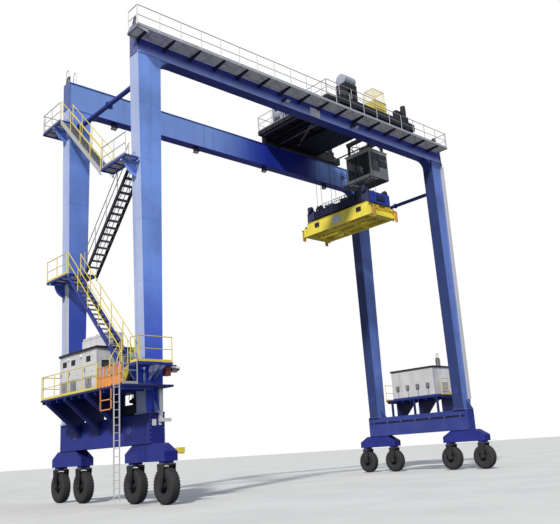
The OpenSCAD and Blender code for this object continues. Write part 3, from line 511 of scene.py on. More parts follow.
class Finish(Enum):
    """Every finish on the crane."""

    # In each paint the second colour and the share after it are painted light and shade on the faces that
    # look towards -X.
    BLUE = Paint("portal_blue", (0.016, 0.036, 0.30), (0.07, 0.095, 0.30), 0.5, sheen=0.25)
    # Near left column: a lit copy of the portal blue; its front face darkens from 12 m down to 4 m by
    # painted shade.
    BLUE_COLUMN = Paint(
        "column_blue", (0.18, 0.32, 0.80), (0.60, 0.66, 0.88), 0.7, sheen=0.25,
        seam_axis=Axis.Z, seam_pitch=2.9, seam_start=3.7,
        light_and_shade_ramps=((2, 12.0, 4.0),), light_and_shade_colour=(0.020, 0.055, 0.62),
    )
    # Far left column: a lit copy of the portal blue; its front face darkens from 15 m down to 8.5 m by
    # painted shade.
    BLUE_BACK = Paint(
        "back_column_blue", (0.16, 0.29, 0.78), (0.60, 0.66, 0.88), 0.7, sheen=0.25,
        seam_axis=Axis.Z, seam_pitch=2.9, seam_start=3.7,
        light_and_shade_ramps=((2, 15.0, 8.5),), light_and_shade_colour=(0.035, 0.07, 0.42),
    )
    BLUE_SHADE = Paint(
        "shaded_blue", (0.12, 0.20, 0.56), (0.02, 0.03, 0.12), 0.85, sheen=0.25,
        seam_axis=Axis.Z, seam_pitch=2.9, seam_start=3.7,
    )
    # Near girder: painted light turns the lower part of its front face pale blue, from 21.4 m down to
    # 20.85 m.
    BLUE_GIRDER = Paint(
        "girder_blue", (0.018, 0.036, 0.34), (0.34, 0.40, 0.68), 0.5, sheen=0.25,
        seam_axis=Axis.X, seam_pitch=3.1, light_and_shade_ramps=((2, 21.4, 20.85),), light_and_shade_colour=(0.36, 0.46, 0.98),
    )
    # Far girder: a lighter copy of the girder blue; painted light turns its front face paler towards x =
    # -3.4 m and x = 7.8 m.
    BLUE_FAR = Paint(
        "far_girder_blue", (0.018, 0.04, 0.42), (0.34, 0.40, 0.68), 0.5, sheen=0.25,
        seam_axis=Axis.X, seam_pitch=3.1,
        light_and_shade_ramps=((0, 2.6, -3.4), (0, 5.8, 7.8)), light_and_shade_colour=(0.20, 0.34, 0.76),
    )
    # Left sill and bogie beams: a darker copy of the portal blue, as painted shade.
    BLUE_LOW = Paint("shade_sill_blue", (0.008, 0.013, 0.20), (0.05, 0.07, 0.36), 0.4, grime=0.12, sheen=0.25)
    HEAD = Paint(
        "headblock_navy", (0.006, 0.006, 0.030), (0.03, 0.03, 0.09), 0.4, rough=0.5, rust=0.4, sheen=0.25
    )
    BLUE_DARK = Paint(
        "machine_blue", (0.012, 0.016, 0.06), (0.12, 0.13, 0.22), 0.35, rough=0.5, rust=0.5, sheen=0.25
    )
    # Equipment decks: a near black copy of the portal blue, as painted shade under the decks.
    DECK = Paint("shade_deck_blue", (0.010, 0.018, 0.13), (0.03, 0.042, 0.16), 0.5, sheen=0.25)
    BLACK = Paint(
        "machine_black", (0.016, 0.016, 0.022), (0.06, 0.06, 0.075), 0.3, rust=0.5, rough=0.5, sheen=0.25
    )
    YELLOW = Paint("safety_yellow", (0.82, 0.64, 0.06), (0.90, 0.79, 0.25), 0.4, rust=0.3, streaks=0.15)
    SPREADER = Paint(
        "spreader_yellow", (0.98, 0.80, 0.06), (1.0, 0.90, 0.18), 0.4, rust=0.35, streaks=0.2
    )
    ORANGE = Paint("gate_orange", (0.80, 0.26, 0.04), (0.86, 0.45, 0.18), 0.5, rust=0.25)
    GUIDE = Paint("guide_orange", (0.72, 0.36, 0.05), (0.72, 0.40, 0.16), 0.4, rust=0.6, streaks=0.3)
    WHITE = Paint("house_white", (0.68, 0.69, 0.72), (0.66, 0.66, 0.68), 0.5, rust=0.35, streaks=0.3)
    HOUSE = Paint("cabinet_grey", (0.30, 0.34, 0.42), (0.52, 0.56, 0.64), 0.5, rust=0.25, streaks=0.3)
    CAB = Paint("cab_cream", (0.86, 0.86, 0.80), rust=0.2, streaks=0.2)
    PALE = Paint("panel_white", (0.74, 0.76, 0.80), rust=0.1, streaks=0.12)
    GREY = Paint("machine_grey", (0.17, 0.18, 0.20), (0.3, 0.3, 0.32), 0.3, rust=0.4, rough=0.5)
    RED = Paint("dark_red", (0.20, 0.02, 0.02), rust=0.2)
    ZINC = Zinc("galvanised")
    BRIGHT = Zinc("bright_galvanised", (0.72, 0.72, 0.71), 0.2)
    GRATING = Zinc("grating_zinc", (0.33, 0.335, 0.345), 0.45)
    RAIL = Steel("rail_steel", (0.26, 0.25, 0.25), 0.85)
    STEEL = Steel("worn_steel")
    BOLT = Steel("bolt_steel", (0.42, 0.42, 0.43), 0.35)
    ROPE = WireRope("wire_rope")
    TYRE = Tyre("tyre_rubber")
    GLASS = Pane("cab_glass")
    HOSE = Moulded("black_hose", (0.012, 0.012, 0.013), 0.45)
    LENS = Moulded("lamp_lens", (0.72, 0.74, 0.74), 0.12, 0.0002)

    def material(self) -> bpy.types.Material:
        """The finish's material, made once."""
        return bpy.data.materials.get(self.value.name) or self.value.material()

    def slot(self) -> str:
        """The record's material slot of most pieces in this finish."""
        slots = (slot for slot, names in SLOTS.items() if self.name in names.split())
        return next(slots, "dark_paint")


# Material slots of the record, and the finishes that belong to them
SLOTS = {
    "frame_paint": "BLUE",
    "yellow_paint": "YELLOW SPREADER",
    "white_paint": "WHITE HOUSE PALE LENS",
    "orange_paint": "ORANGE",
    "galvanised_steel": "ZINC BRIGHT GRATING BOLT",
    "rope_steel": "ROPE",
    "tyre_rubber": "TYRE",
}


# Meshes

Span = tuple[Any, Any]
SIDES = (-1, 1)
UP = np.array([0, 0, 1.0])
SQUARE = ((0, 0), (1, 0), (1, 1), (0, 1))
BOX_CORNERS = np.array([(x, y, z) for z in (0, 1) for x, y in SQUARE], float)
BOX_FACES = np.array(
    [[0, 3, 2, 1], [4, 5, 6, 7], [0, 1, 5, 4], [1, 2, 6, 5], [2, 3, 7, 6], [3, 0, 4, 7]]
)


def unit(vectors: Array) -> Array:
    """Each vector over its own length."""
    return vectors / np.maximum(np.linalg.norm(vectors, axis=-1, keepdims=True), 1e-9)


def rows(*values: Any) -> list[Array]:
    """The values as (n, 3) arrays of one length."""
    return np.broadcast_arrays(*(np.atleast_2d(np.asarray(value, float)) for value in values))


def points(x: Any, y: Any, z: Any) -> Array:
    """An (n, 3) array from three numbers or arrays that are broadcast together."""
    return np.stack([np.ravel(a) for a in np.broadcast_arrays(x, y, z)], -1).astype(float)


def about(middle: Any, half: float) -> Span:
    """The two ends of a span round a middle."""
    return middle - half, middle + half


def spread(low: float, high: float, pitch: float) -> Array:
    """Even places from low to high, about a pitch apart."""
    return np.linspace(low, high, max(2, int(round((high - low) / pitch)) + 1))


def turns(count: int, first: float = 0.0) -> Array:
    """Even angles round a circle, the first one a share of a step from 0."""
    return (np.arange(count) + first) * 2 * math.pi / count


def circle(centre: Place, axis: Axis, radius: Any, count: int, first: float = 0.0) -> Array:
    """Even places on a circle: centre + r (cos t, sin t) in the two axes other than its own.

    Args:
        centre: its centre.
        axis: the axis that it is square to.
        radius: one radius, or the half widths of an oval.
        count: how many places there are.
        first: place of the first one, as a share of a step.

    Returns:
        A (count, 3) array.
    """
    places = np.tile(np.asarray(centre, float), (count, 1))
    turn = turns(count, first)
    others = [i for i in range(3) if i != axis.value]
    places[:, others] += np.asarray(radius) * np.stack([np.cos(turn), np.sin(turn)], -1)
    return places


def around(along: Array, turn: Array, lead: Any = None) -> Array:
    """Unit vectors round each axis: cos t side + sin t rise, with side square to the lead.

    Args:
        along: one axis or (n, 3) axes.
        turn: the angles t.
        lead: a direction that no axis runs along, or None for X on upright axes and Z on others.

    Returns:
        An array (..., angles, 3).
    """
    if lead is None:
        lead = np.where(np.abs(along[..., 2:3]) > 0.9, (1.0, 0.0, 0.0), (0.0, 0.0, 1.0))
    side = unit(np.cross(np.asarray(lead, float), along))
    rise = np.cross(along, side)
    return np.cos(turn)[:, None] * side[..., None, :] + np.sin(turn)[:, None] * rise[..., None, :]


class Shell:
    """Gathers the closed surfaces of one piece and makes them one mesh."""

    def __init__(self) -> None:
        """Starts with no points."""
        self.points: list[Array] = []
        self.corners: list[Array] = []
        self.counts: list[Array] = []
        self.uvs: list[Array] = []
        self.total = 0

    def add(self, places: Array, faces: Array, uv: Array | None = None) -> None:
        """Adds points and faces that all have the same number of corners.

        Args:
            places: the points, in an array whose last axis is 3 long.
            faces: an (m, k) array of point numbers.
            uv: the points' places in the UV map, or None for zeros.
        """
        places = np.asarray(places, float).reshape(-1, 3)
        flat = np.zeros((len(places), 2)) if uv is None else uv.reshape(-1, 2)
        self.points.append(places)
        self.total += len(places)
        self.join(faces, len(places), flat[faces.ravel()])

    def join(self, faces: Array, count: int, uv: Array | None = None) -> None:
        """Adds faces over the last count points."""
        self.corners.append((faces + self.total - count).ravel())
        self.counts.append(np.full(len(faces), faces.shape[1]))
        self.uvs.append(np.zeros((faces.size, 2)) if uv is None else uv)

    def grid(self, places: Array, ends: bool, uv: Array | None = None) -> None:
        """Skin of a tube: rings places[i] with their corners in turn, and flat ends if asked.

        Point (i, j) joins (i, j + 1), (i + 1, j + 1) and (i + 1, j), with j running round.

        Args:
            places: a (rings, corners, 3) array.
            ends: whether the first and last ring get flat ends.
            uv: a (rings, corners, 2) array or None.
        """
        rings, sides = places.shape[:2]
        i, j = np.meshgrid(np.arange(rings - 1), np.arange(sides), indexing="ij")
        k = (j + 1) % sides
        faces = np.stack([i * sides + j, i * sides + k, (i + 1) * sides + k, (i + 1) * sides + j], -1)
        self.add(places, faces.reshape(-1, 4), uv)
        if ends:
            ring = np.arange(sides)
            self.join(ring[::-1][None], rings * sides)
            self.join(ring[None] + (rings - 1) * sides, rings * sides)

    def boxes(self, low: Any, high: Any) -> None:
        """Boxes: corner = low + share (high - low).

        Args:
            low: (n, 3) or single corners.
            high: the corners across from them.
        """
        a, b = rows(low, high)
        a, b = np.minimum(a, b), np.maximum(a, b)
        faces = BOX_FACES + 8 * np.arange(len(a))[:, None, None]
        self.add(a[:, None] + BOX_CORNERS * (b - a)[:, None], faces.reshape(-1, 4))

    def box(self, x: Span, y: Span, z: Span) -> None:
        """Boxes between the two ends of a span on each axis, which are numbers or arrays."""
        ends = np.broadcast_arrays(*(np.asarray(end, float) for end in (*x, *y, *z)))
        self.boxes(*(points(*ends[i::2]) for i in (0, 1)))

    def bars(self, start: Any, end: Any, width: float, depth: float, up: Any = (0, 0, 1)) -> None:
        """Square bars: point = start or end + side w / 2 + rise d / 2, with rise nearest to up.

        Args:
            start: (n, 3) or single starts.
            end: the ends.
            width: size across up.
            depth: size along up.
            up: one direction or one for each bar.
        """
        a, b, up = rows(start, end, up)
        along = unit(b - a)
        side = unit(np.cross(up, along))
        frame_of_bar = np.stack([side * width, np.cross(along, side) * depth, b - a], 1)
        places = a[:, None] + (BOX_CORNERS - (0.5, 0.5, 0.0)) @ frame_of_bar
        faces = BOX_FACES + 8 * np.arange(len(a))[:, None, None]
        self.add(places, faces.reshape(-1, 4))

    def rods(self, start: Any, end: Any, radius: float, sides: int = 8) -> None:
        """Round bars: point = start or end + r (cos t side + sin t rise), with flat ends.

        Args:
            start: (n, 3) or single starts.
            end: the ends.
            radius: radius of the rods.
            sides: corners round a rod.
        """
        a, b = rows(start, end)
        ring = radius * around(unit(b - a), turns(sides, 0.5))
        places = np.concatenate([a[:, None] + ring, b[:, None] + ring], 1)
        j = np.arange(sides)
        k = (j + 1) % sides
        first = 2 * sides * np.arange(len(a))[:, None, None]
        self.add(places, (np.stack([j, k, k + sides, j + sides], -1) + first).reshape(-1, 4))
        caps = np.stack([j[::-1], j + sides])
        self.join((caps + first).reshape(-1, sides), len(a) * 2 * sides)

    def bolts(self, heads: Any, normal: Any, radius: float, height: float) -> None:
        """Hexagon heads that stand on their places along the normal."""
        self.rods(heads, np.asarray(heads, float) + np.asarray(normal, float) * height, radius, 6)

    def turned(self, profile: Any, origin: Any, axis: Any, sides: int, ring: bool = False) -> None:
        """Turned shape: point = origin + axis a + r (cos t side + sin t rise).

        Args:
            profile: (a, r) pairs along the shape, with r above 0.
            origin: where a is 0.
            axis: direction of the axis.
            sides: corners round the shape.
            ring: whether the profile closes on itself, as a tyre's does.
        """
        line = np.asarray(profile, float)
        if ring:
            line = line[::-1] if twice_area(line) > 0 else line
            line = np.concatenate([line, line[:1]])
        elif line[-1, 0] < line[0, 0]:
            line = line[::-1]
        along = unit(np.asarray(axis, float))
        out = around(along, turns(sides))
        places = np.asarray(origin) + line[:, 0, None, None] * along + line[:, 1, None, None] * out
        self.grid(places, ends=not ring)

    def slab(self, outline: Any, axis: Axis, low: float, high: float) -> None:
        """Flat outline carried along an axis: corner = (outline, low or high).

        Args:
            outline: corners in the two other axes, in the order of their letters.
            axis: the axis it is carried along.
            low: where it starts.
            high: where it ends.
        """
        line = np.asarray(outline, float)
        line = line if twice_area(line) * (-1 if axis is Axis.Y else 1) > 0 else line[::-1]
        rings = np.empty((2, len(line), 3))
        rings[:, :, [i for i in range(3) if i != axis.value]] = line[None]
        rings[:, :, axis.value] = [[min(low, high)], [max(low, high)]]
        self.grid(rings, ends=True)

    def pipe(self, path: Any, radius: float, sides: int = 8, lead: Any = (0.13, 0.21, 0.97)) -> None:
        """Hose or bent tube: point = path + r (cos t side + sin t rise), with flat ends.

        Args:
            path: the points that its middle follows.
            radius: its radius.
            sides: corners round it.
            lead: a direction that the path never runs along.
        """
        line = np.asarray(path, float)
        turn = turns(sides)
        ring = around(unit(np.gradient(line, axis=0)), turn, lead)
        length = np.concatenate([[0], np.cumsum(np.linalg.norm(np.diff(line, axis=0), axis=1))])
        uv = np.stack(np.broadcast_arrays(turn[None] / (2 * math.pi), length[:, None]), -1)
        self.grid(line[:, None] + radius * ring, ends=True, uv=uv)

    def grating(self, low: Place, high: Place, run: Axis) -> None:
        """Floor grating: upright bearing bars along one axis and thin cross bars on them.

        Args:
            low: lowest corner.
            high: highest corner; the bars fill the height between the two.
            run: the axis that the bearing bars lie along.
        """
        bearing, cross = (0.006, 0.041, low[2]), (0.008, 0.1, high[2] - 0.009)
        for axis, (width, step, foot) in ((1 - run.value, bearing), (run.value, cross)):
            spans: list[Span] = [(low[i], high[i]) for i in (0, 1)] + [(foot, high[2])]
            count = max(2, int(round((high[axis] - low[axis]) / step)) + 1)
            spans[axis] = about(np.linspace(low[axis] + width, high[axis] - width, count), width / 2)
            self.box(*spans)

    def frame_of(self, low: Place, high: Place, width: float) -> None:
        """Four upright plates round a floor panel, each as thick as the width."""
        (x0, y0, z0), (x1, y1, z1), w = low, high, width
        self.box((x0, x1), (np.array([y0, y1 - w]), np.array([y0 + w, y1])), (z0, z1))
        self.box((np.array([x0, x1 - w]), np.array([x0 + w, x1])), (y0 + w, y1 - w), (z0, z1))

    def border(self, x: Span, y: Span, z: Span, width: float, corners: bool = True) -> None:
        """Strips beside, under and over an opening that lies along the longer of X and Y.

        Args:
            x: the opening along X, or the strips' thickness.
            y: the opening along Y, or the strips' thickness.
            z: the opening's foot and head.
            width: how far the strips reach out from it.
            corners: whether the strips beside it fill the corners.
        """
        along = int(abs(x[1] - x[0]) < abs(y[1] - y[0]))
        reach = width if corners else 0.0
        for low in ((x, y)[along][0] - width, (x, y)[along][1]):
            spans = [x, y, (z[0] - reach, z[1] + reach)]
            spans[along] = (low, low + width)
            self.box(*spans)
        for low in (z[0] - width, z[1]):
            self.box(x, y, (low, low + width))

    def piece(
        self,
        name: str,
        finish: Finish,
        body: str = "portal",
        replaces: Sequence[str] = (),
        smooth: float = 35.0,
        slot: str = "",
    ) -> bpy.types.Object:
        """Makes the mesh object and hands it to its body.

        Args:
            name: the piece's name.
            finish: its finish.
            body: the body it rides on, or an empty name for none yet.
            replaces: the nodes that it stands for.
            smooth: edges under this many degrees are shaded smooth.
            slot: a material slot for pieces where that is not the finish's own; not used.

        Returns:
            The object.
        """
        mesh = bpy.data.meshes.new(name)
        corners = np.concatenate(self.corners).astype(np.int32)
        counts = np.concatenate(self.counts).astype(np.int32)
        mesh.vertices.add(self.total)
        mesh.vertices.foreach_set("co", np.concatenate(self.points).astype(np.float32).ravel())
        mesh.loops.add(len(corners))
        mesh.loops.foreach_set("vertex_index", corners)
        mesh.polygons.add(len(counts))
        mesh.polygons.foreach_set("loop_start", (np.cumsum(counts) - counts).astype(np.int32))
        mesh.update(calc_edges=True)
        layer = mesh.uv_layers.new(name="along")
        layer.data.foreach_set("uv", np.concatenate(self.uvs).astype(np.float32).ravel())
        mesh.validate()
        mesh.shade_smooth()
        mesh.set_sharp_from_angle(angle=math.radians(smooth))
        mesh.materials.append(finish.material())
        made = bpy.data.objects.new(name, mesh)
        bpy.context.scene.collection.objects.link(made)
        if body:
            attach(made, body)
        slot or finish.slot()
        if replaces:
            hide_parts(*replaces)
        log.info("%s: %d faces", name, len(counts))
        return made


def twice_area(outline: Array) -> float:
    """Twice the area inside an outline, below 0 where it runs clockwise."""
    x, y = outline[:, 0], outline[:, 1]
    return float(np.sum(x * np.roll(y, -1) - np.roll(x, -1) * y))


def shells(count: int) -> list[Shell]:
    """Empty shells for the pieces that a method fills side by side."""
    return [Shell() for _ in range(count)]


def mirrored(half: list[Any], middle: Sequence[Any] = ()) -> list[Any]:
    """A profile that mirrors itself: (-a, r) of each pair, the middle, and the pairs back."""
    return [(-a, r) for a, r in half] + [*middle] + half[::-1]


def dress(finish: Finish, *nodes: str) -> None:
    """Gives the frame's own nodes a finish in their material slots.

    Args:
        finish: the finish.
        nodes: names of the nodes.
    """
    for name in nodes:
        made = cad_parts[name]
        if not made.material_slots:
            made.data.materials.append(finish.material())
        for place in made.material_slots:
            place.material = finish.material()
        log.info("%s keeps its solid", name)


@dataclass
class Portal:
    """Columns, sills, girders and ties: finishes, bolts, covers and rail clips.

    Attributes:
        column_x: place of the column centres along the span.
        column_y: place of the column centres along the travel way.
        foot_half: half width of a column at its foot.
        head_half: half width of a column at its head.
        column_half_y: half depth of a column.
        sill_top: top of the sill beams.
        sill_half: half width of a sill beam.
        sill_end: half length of a sill beam.
        girder_z: underside of the girders.
        girder_top: their top.
        girder_half: half width over the webs.
        girder_end: half length of a girder.
    """

    column_x: float = 11.735
    column_y: float = 3.57
    foot_half: float = 0.42
    head_half: float = 0.64
    column_half_y: float = 0.385
    sill_top: float = 3.70
    sill_half: float = 0.38
    sill_end: float = 4.125
    girder_z: float = 20.82
    girder_top: float = 22.45
    girder_half: float = 0.28
    girder_end: float = 12.40

    def corners(self) -> Array:
        """Centres of the four columns, (4, 2)."""
        return np.array([(sx * self.column_x, sy * self.column_y) for sx in SIDES for sy in SIDES])

    def half_at(self, z: Any) -> Any:
        """Half width of a column: foot + (head - foot) (z - sill top) / (girder - sill top)."""
        share = (z - self.sill_top) / (self.girder_z - self.sill_top)
        return self.foot_half + (self.head_half - self.foot_half) * share

    def build(self) -> None:
        """Dresses the frame and adds every fitting."""
        dress(Finish.BLUE_COLUMN, "column_near_left")
        dress(Finish.BLUE_BACK, "column_far_left")
        dress(Finish.BLUE_SHADE, "column_near_right", "column_far_right")
        dress(Finish.BLUE_GIRDER, "girder_near")
        dress(Finish.BLUE_FAR, "girder_far")
        dress(Finish.BLUE, "sill_right", "side_ties")
        dress(Finish.BLUE_LOW, "sill_left", "bogie_beams")
        dress(Finish.DECK, "equipment_decks")
        dress(Finish.RAIL, "trolley_track")
        dress(Finish.BRIGHT, "cable_ducts")
        self.bolts()
        self.covers()
        self.plates()
        self.ribs()
        self.clips()
        self.cables()

    def bolts(self) -> None:
        """Bolt rows round the foot plates, head plates, girder ends and sill ends."""
        s = Shell()
        top = self.sill_top + 0.035
        across = np.array([-0.36, -0.24, -0.12, 0.12, 0.24, 0.36])
        for cx, cy in self.corners():
            for side in SIDES:
                s.bolts(points(cx + side * 0.452, cy + np.linspace(-0.4, 0.4, 6), top), UP, 0.024, 0.03)
                s.bolts(points(cx + across, cy + side * 0.415, top), UP, 0.024, 0.03)
                x, z = cx + np.linspace(-0.56, 0.56, 9), self.girder_z - 0.035
                s.bolts(points(x, cy + side * 0.375, z), -UP, 0.02, 0.025)
        for k, end, side in product(SIDES, repeat=3):
            z = np.linspace(self.girder_z + 0.12, self.girder_top - 0.12, 9)
            heads = points(end * self.girder_end, k * self.column_y + side * 0.285, z)
            s.bolts(heads, (end, 0, 0), 0.02, 0.02)
            x, z = k * self.column_x + side * 0.33, np.linspace(2.53, 3.62, 7)
            s.bolts(points(x, end * self.sill_end, z), (0, end, 0), 0.018, 0.02)
        s.piece("portal_bolts", Finish.BOLT)

    def covers(self) -> None:
        """Oval inspection covers with their bolts, on the columns, sills and girders."""
        plate, bolts = shells(2)
        half = self.half_at(4.95) - 0.002
        sill, web = self.column_x + self.sill_half, self.column_y - self.girder_half
        upright, lying = (0.17, 0.25), (0.25, 0.17)
        places = []
        for cx, cy in self.corners():
            out = -math.copysign(1, cx)
            places.append(((cx + out * half, cy, 4.95), Axis.X, upright, out))
        for k, side in product(SIDES, repeat=2):
            places.append(((k * sill, side * 2.508, 3.08), Axis.X, lying, k))
            places.append(((side * 9.9, k * web, 21.7), Axis.Y, lying, -k))
        for centre, axis, (a, b), out in places:
            face, others = centre[axis.value], [i for i in range(3) if i != axis.value]
            plate.slab(circle(centre, axis, (a, b), 32)[:, others], axis, face, face + out * 0.02)
            normal = out * np.eye(3)[axis.value]
            heads = circle(centre, axis, (a - 0.025, b - 0.025), 12) + normal * 0.018
            bolts.bolts(heads, normal, 0.014, 0.014)
        plate.piece("inspection_covers", Finish.BLUE)
        bolts.piece("cover_bolts", Finish.BOLT)

    def plates(self) -> None:
        """Bare pale plates on the near girder and the sill's end."""
        s = Shell()
        y = -self.column_y - self.girder_half
        s.box((-0.62, 0.2), (y - 0.012, y + 0.001), (20.9, 21.42))
        y = -self.sill_end
        s.box((-11.98, -11.78), (y - 0.01, y + 0.001), (3.18, 3.44))
        s.box((-11.66, -11.5), (y - 0.01, y + 0.001), (3.2, 3.42))
        s.piece("blank_plates", Finish.PALE)

    def ribs(self) -> None:
        """Stiffeners under the haunches, collars on the tie pipes and lugs on the bogie beams."""
        s = Shell()
        turn = np.linspace(0, math.pi / 2, 25)
        for sx in SIDES:
            bend = np.stack([sx * np.sin(turn), np.cos(turn)], -1)
            middle = (sx * (self.column_x - self.head_half - 0.70), self.girder_z - 0.70)
            outline = np.concatenate([middle + 0.70 * bend, middle + 0.685 * bend[::-1]])
            x, z = sx * self.column_x, 19.815 if sx < 0 else 18.74
            for end in SIDES:
                s.slab(outline, Axis.Y, *about(end * self.column_y, 0.33))
                tie = (x, end * (self.column_y - self.column_half_y), z)
                s.turned([(0, 0.2), (0.03, 0.2), (0.03, 0.15), (0.034, 0.127)], tie, (0, -end, 0), 40)
                start = circle(tie, Axis.Y, 0.125, 8)
                s.bars(start, start + (0, -end * 0.22, 0), 0.012, 0.09, start - tie)
            s.turned([(-0.02, 0.19), (0.02, 0.19)], (x, 0, z), (0, 1, 0), 40)
        for (cx, cy), side in product(self.corners(), SIDES):
            x = cx + side * 0.30
            for end in SIDES:
                s.box((x - 0.01, x + 0.03), about(cy + end * 0.55, 0.012), (1.75, 2.45))
            x = cx + side * 0.32
            s.bars([x, cy - 1.45, 1.74], [x, cy + 1.45, 1.74], 0.05, 0.02)
        s.piece("frame_stiffeners", Finish.BLUE)

    def clips(self) -> None:
        """Clips that hold the crane rails, one each side every 0.6 m."""
        s = Shell()
        x, z = spread(-12.0, 12.0, 0.6), self.girder_top
        for sy, side in product(SIDES, repeat=2):
            y = sy * self.column_y + side * 0.105
            s.box(about(x, 0.045), about(y, 0.045), (z, z + 0.02))
            s.bolts(points(x, y + side * 0.01, z + 0.02), UP, 0.017, 0.022)
        s.piece("rail_clips", Finish.STEEL, slot="rope_steel")

    def cables(self) -> None:
        """Cable runs: a tray on the far girder, conduits on columns and sills, with clamps."""
        tray, clamps, lines = shells(3)
        y = self.column_y + self.girder_half
        tray.box((-11.9, 11.9), (y, y + 0.25), (21.28, 21.3))
        tray.box((-11.9, 11.9), (y + 0.24, y + 0.25), (21.3, 21.42))
        x = spread(-11.5, 11.5, 1.6)
        tray.bars(points(x, y, 21.24), points(x, y + 0.24, 21.28), 0.04, 0.04)
        for off in (0.05, 0.1, 0.15, 0.2):
            lines.rods([-11.8, y + off, 21.318], [11.8, y + off, 21.318], 0.018)
        z = np.linspace(4.2, 20.3, 30)
        for y in (-0.3, -0.24, -0.18):
            path = points(self.column_x + self.half_at(z) + 0.022, self.column_y + y, z)
            lines.pipe(path, 0.018, 8, (0, 1, 0))
        z = spread(4.5, 20.0, 1.5)
        x = self.column_x + self.half_at(z)
        clamps.box((x - 0.004, x + 0.05), (self.column_y - 0.35, self.column_y - 0.13), (z, z + 0.04))
        y = spread(-3.6, 3.6, 1.2)
        for sx in SIDES:
            x = sx * (self.column_x - self.sill_half)
            for z in (3.3, 3.37):
                lines.rods([x - sx * 0.022, -3.9, z], [x - sx * 0.022, 3.9, z], 0.018)
            clamps.box((x - sx * 0.045, x + sx * 0.004), (y, y + 0.03), (3.26, 3.41))
        tray.piece("cable_tray", Finish.ZINC)
        lines.piece("portal_cables", Finish.HOSE, slot="tyre_rubber")
        clamps.piece("cable_clamps", Finish.ZINC)


@dataclass
class Handrails:
    """Tube handrails with toe boards, laid where the frame has its rails.

    Attributes:
        radius: radius of the tubes.
        height: height of the top of the rail.
        spacing: distance between posts, about.
        inset: from a rail's end to the middle of its end post.
    """

    radius: float = 0.0215
    height: float = 1.1
    spacing: float = 1.25
    inset: float = 0.0225

    def run(self, s: Shell, start: Place, end: Place, toe: bool = True) -> None:
        """Adds one straight level run.

        Args:
            s: the shell it goes into.
            start: foot of the first end.
            end: foot of the other end.
            toe: whether it has a toe board.
        """
        a, b = np.array(start, float), np.array(end, float)
        length = float(np.linalg.norm(b - a))
        along = (b - a) / length
        count = max(2, int(round(length / self.spacing)) + 1)
        feet = a + along * self.inset + np.linspace(0, length - 2 * self.inset, count)[:, None] * along
        r, top, half = self.radius, UP * (self.height - self.radius), UP * self.height / 2
        s.rods(feet, feet + top, r)
        s.rods(a + half, b + half, r * 0.8, 10)
        s.rods(a + top, b + top, r, 10)
        foot = np.abs(along) * 0.05 + np.abs(np.cross(UP, along)) * 0.03
        s.boxes(feet - foot, feet + foot + UP * 0.012)
        if toe:
            s.bars(a + UP * 0.06, b + UP * 0.06, 0.006, 0.1)

    def slope(self, s: Shell, start: Place, end: Place) -> None:
        """Adds a sloped run with upright posts on a stringer's top line.

        Args:
            s: the shell it goes into.
            start: foot of the lower end.
            end: foot of the upper end.
        """
        a, b = np.array(start, float), np.array(end, float)
        count = int(round(abs(b[2] - a[2]))) + 1
        feet = a + np.linspace(0.01, 0.99, count)[:, None] * (b - a)
        s.rods(feet - UP * 0.05, feet + UP * (self.height - 0.02), self.radius)
        for h in (0.55, 1.08):
            line = a + np.linspace(0, 1, 12)[:, None] * (b - a) + UP * h
            s.pipe(line, self.radius, 8, (1, 0, 0))
        s.boxes(feet - (0.03, 0.03, 0.08), feet + (0.03, 0.03, -0.03))


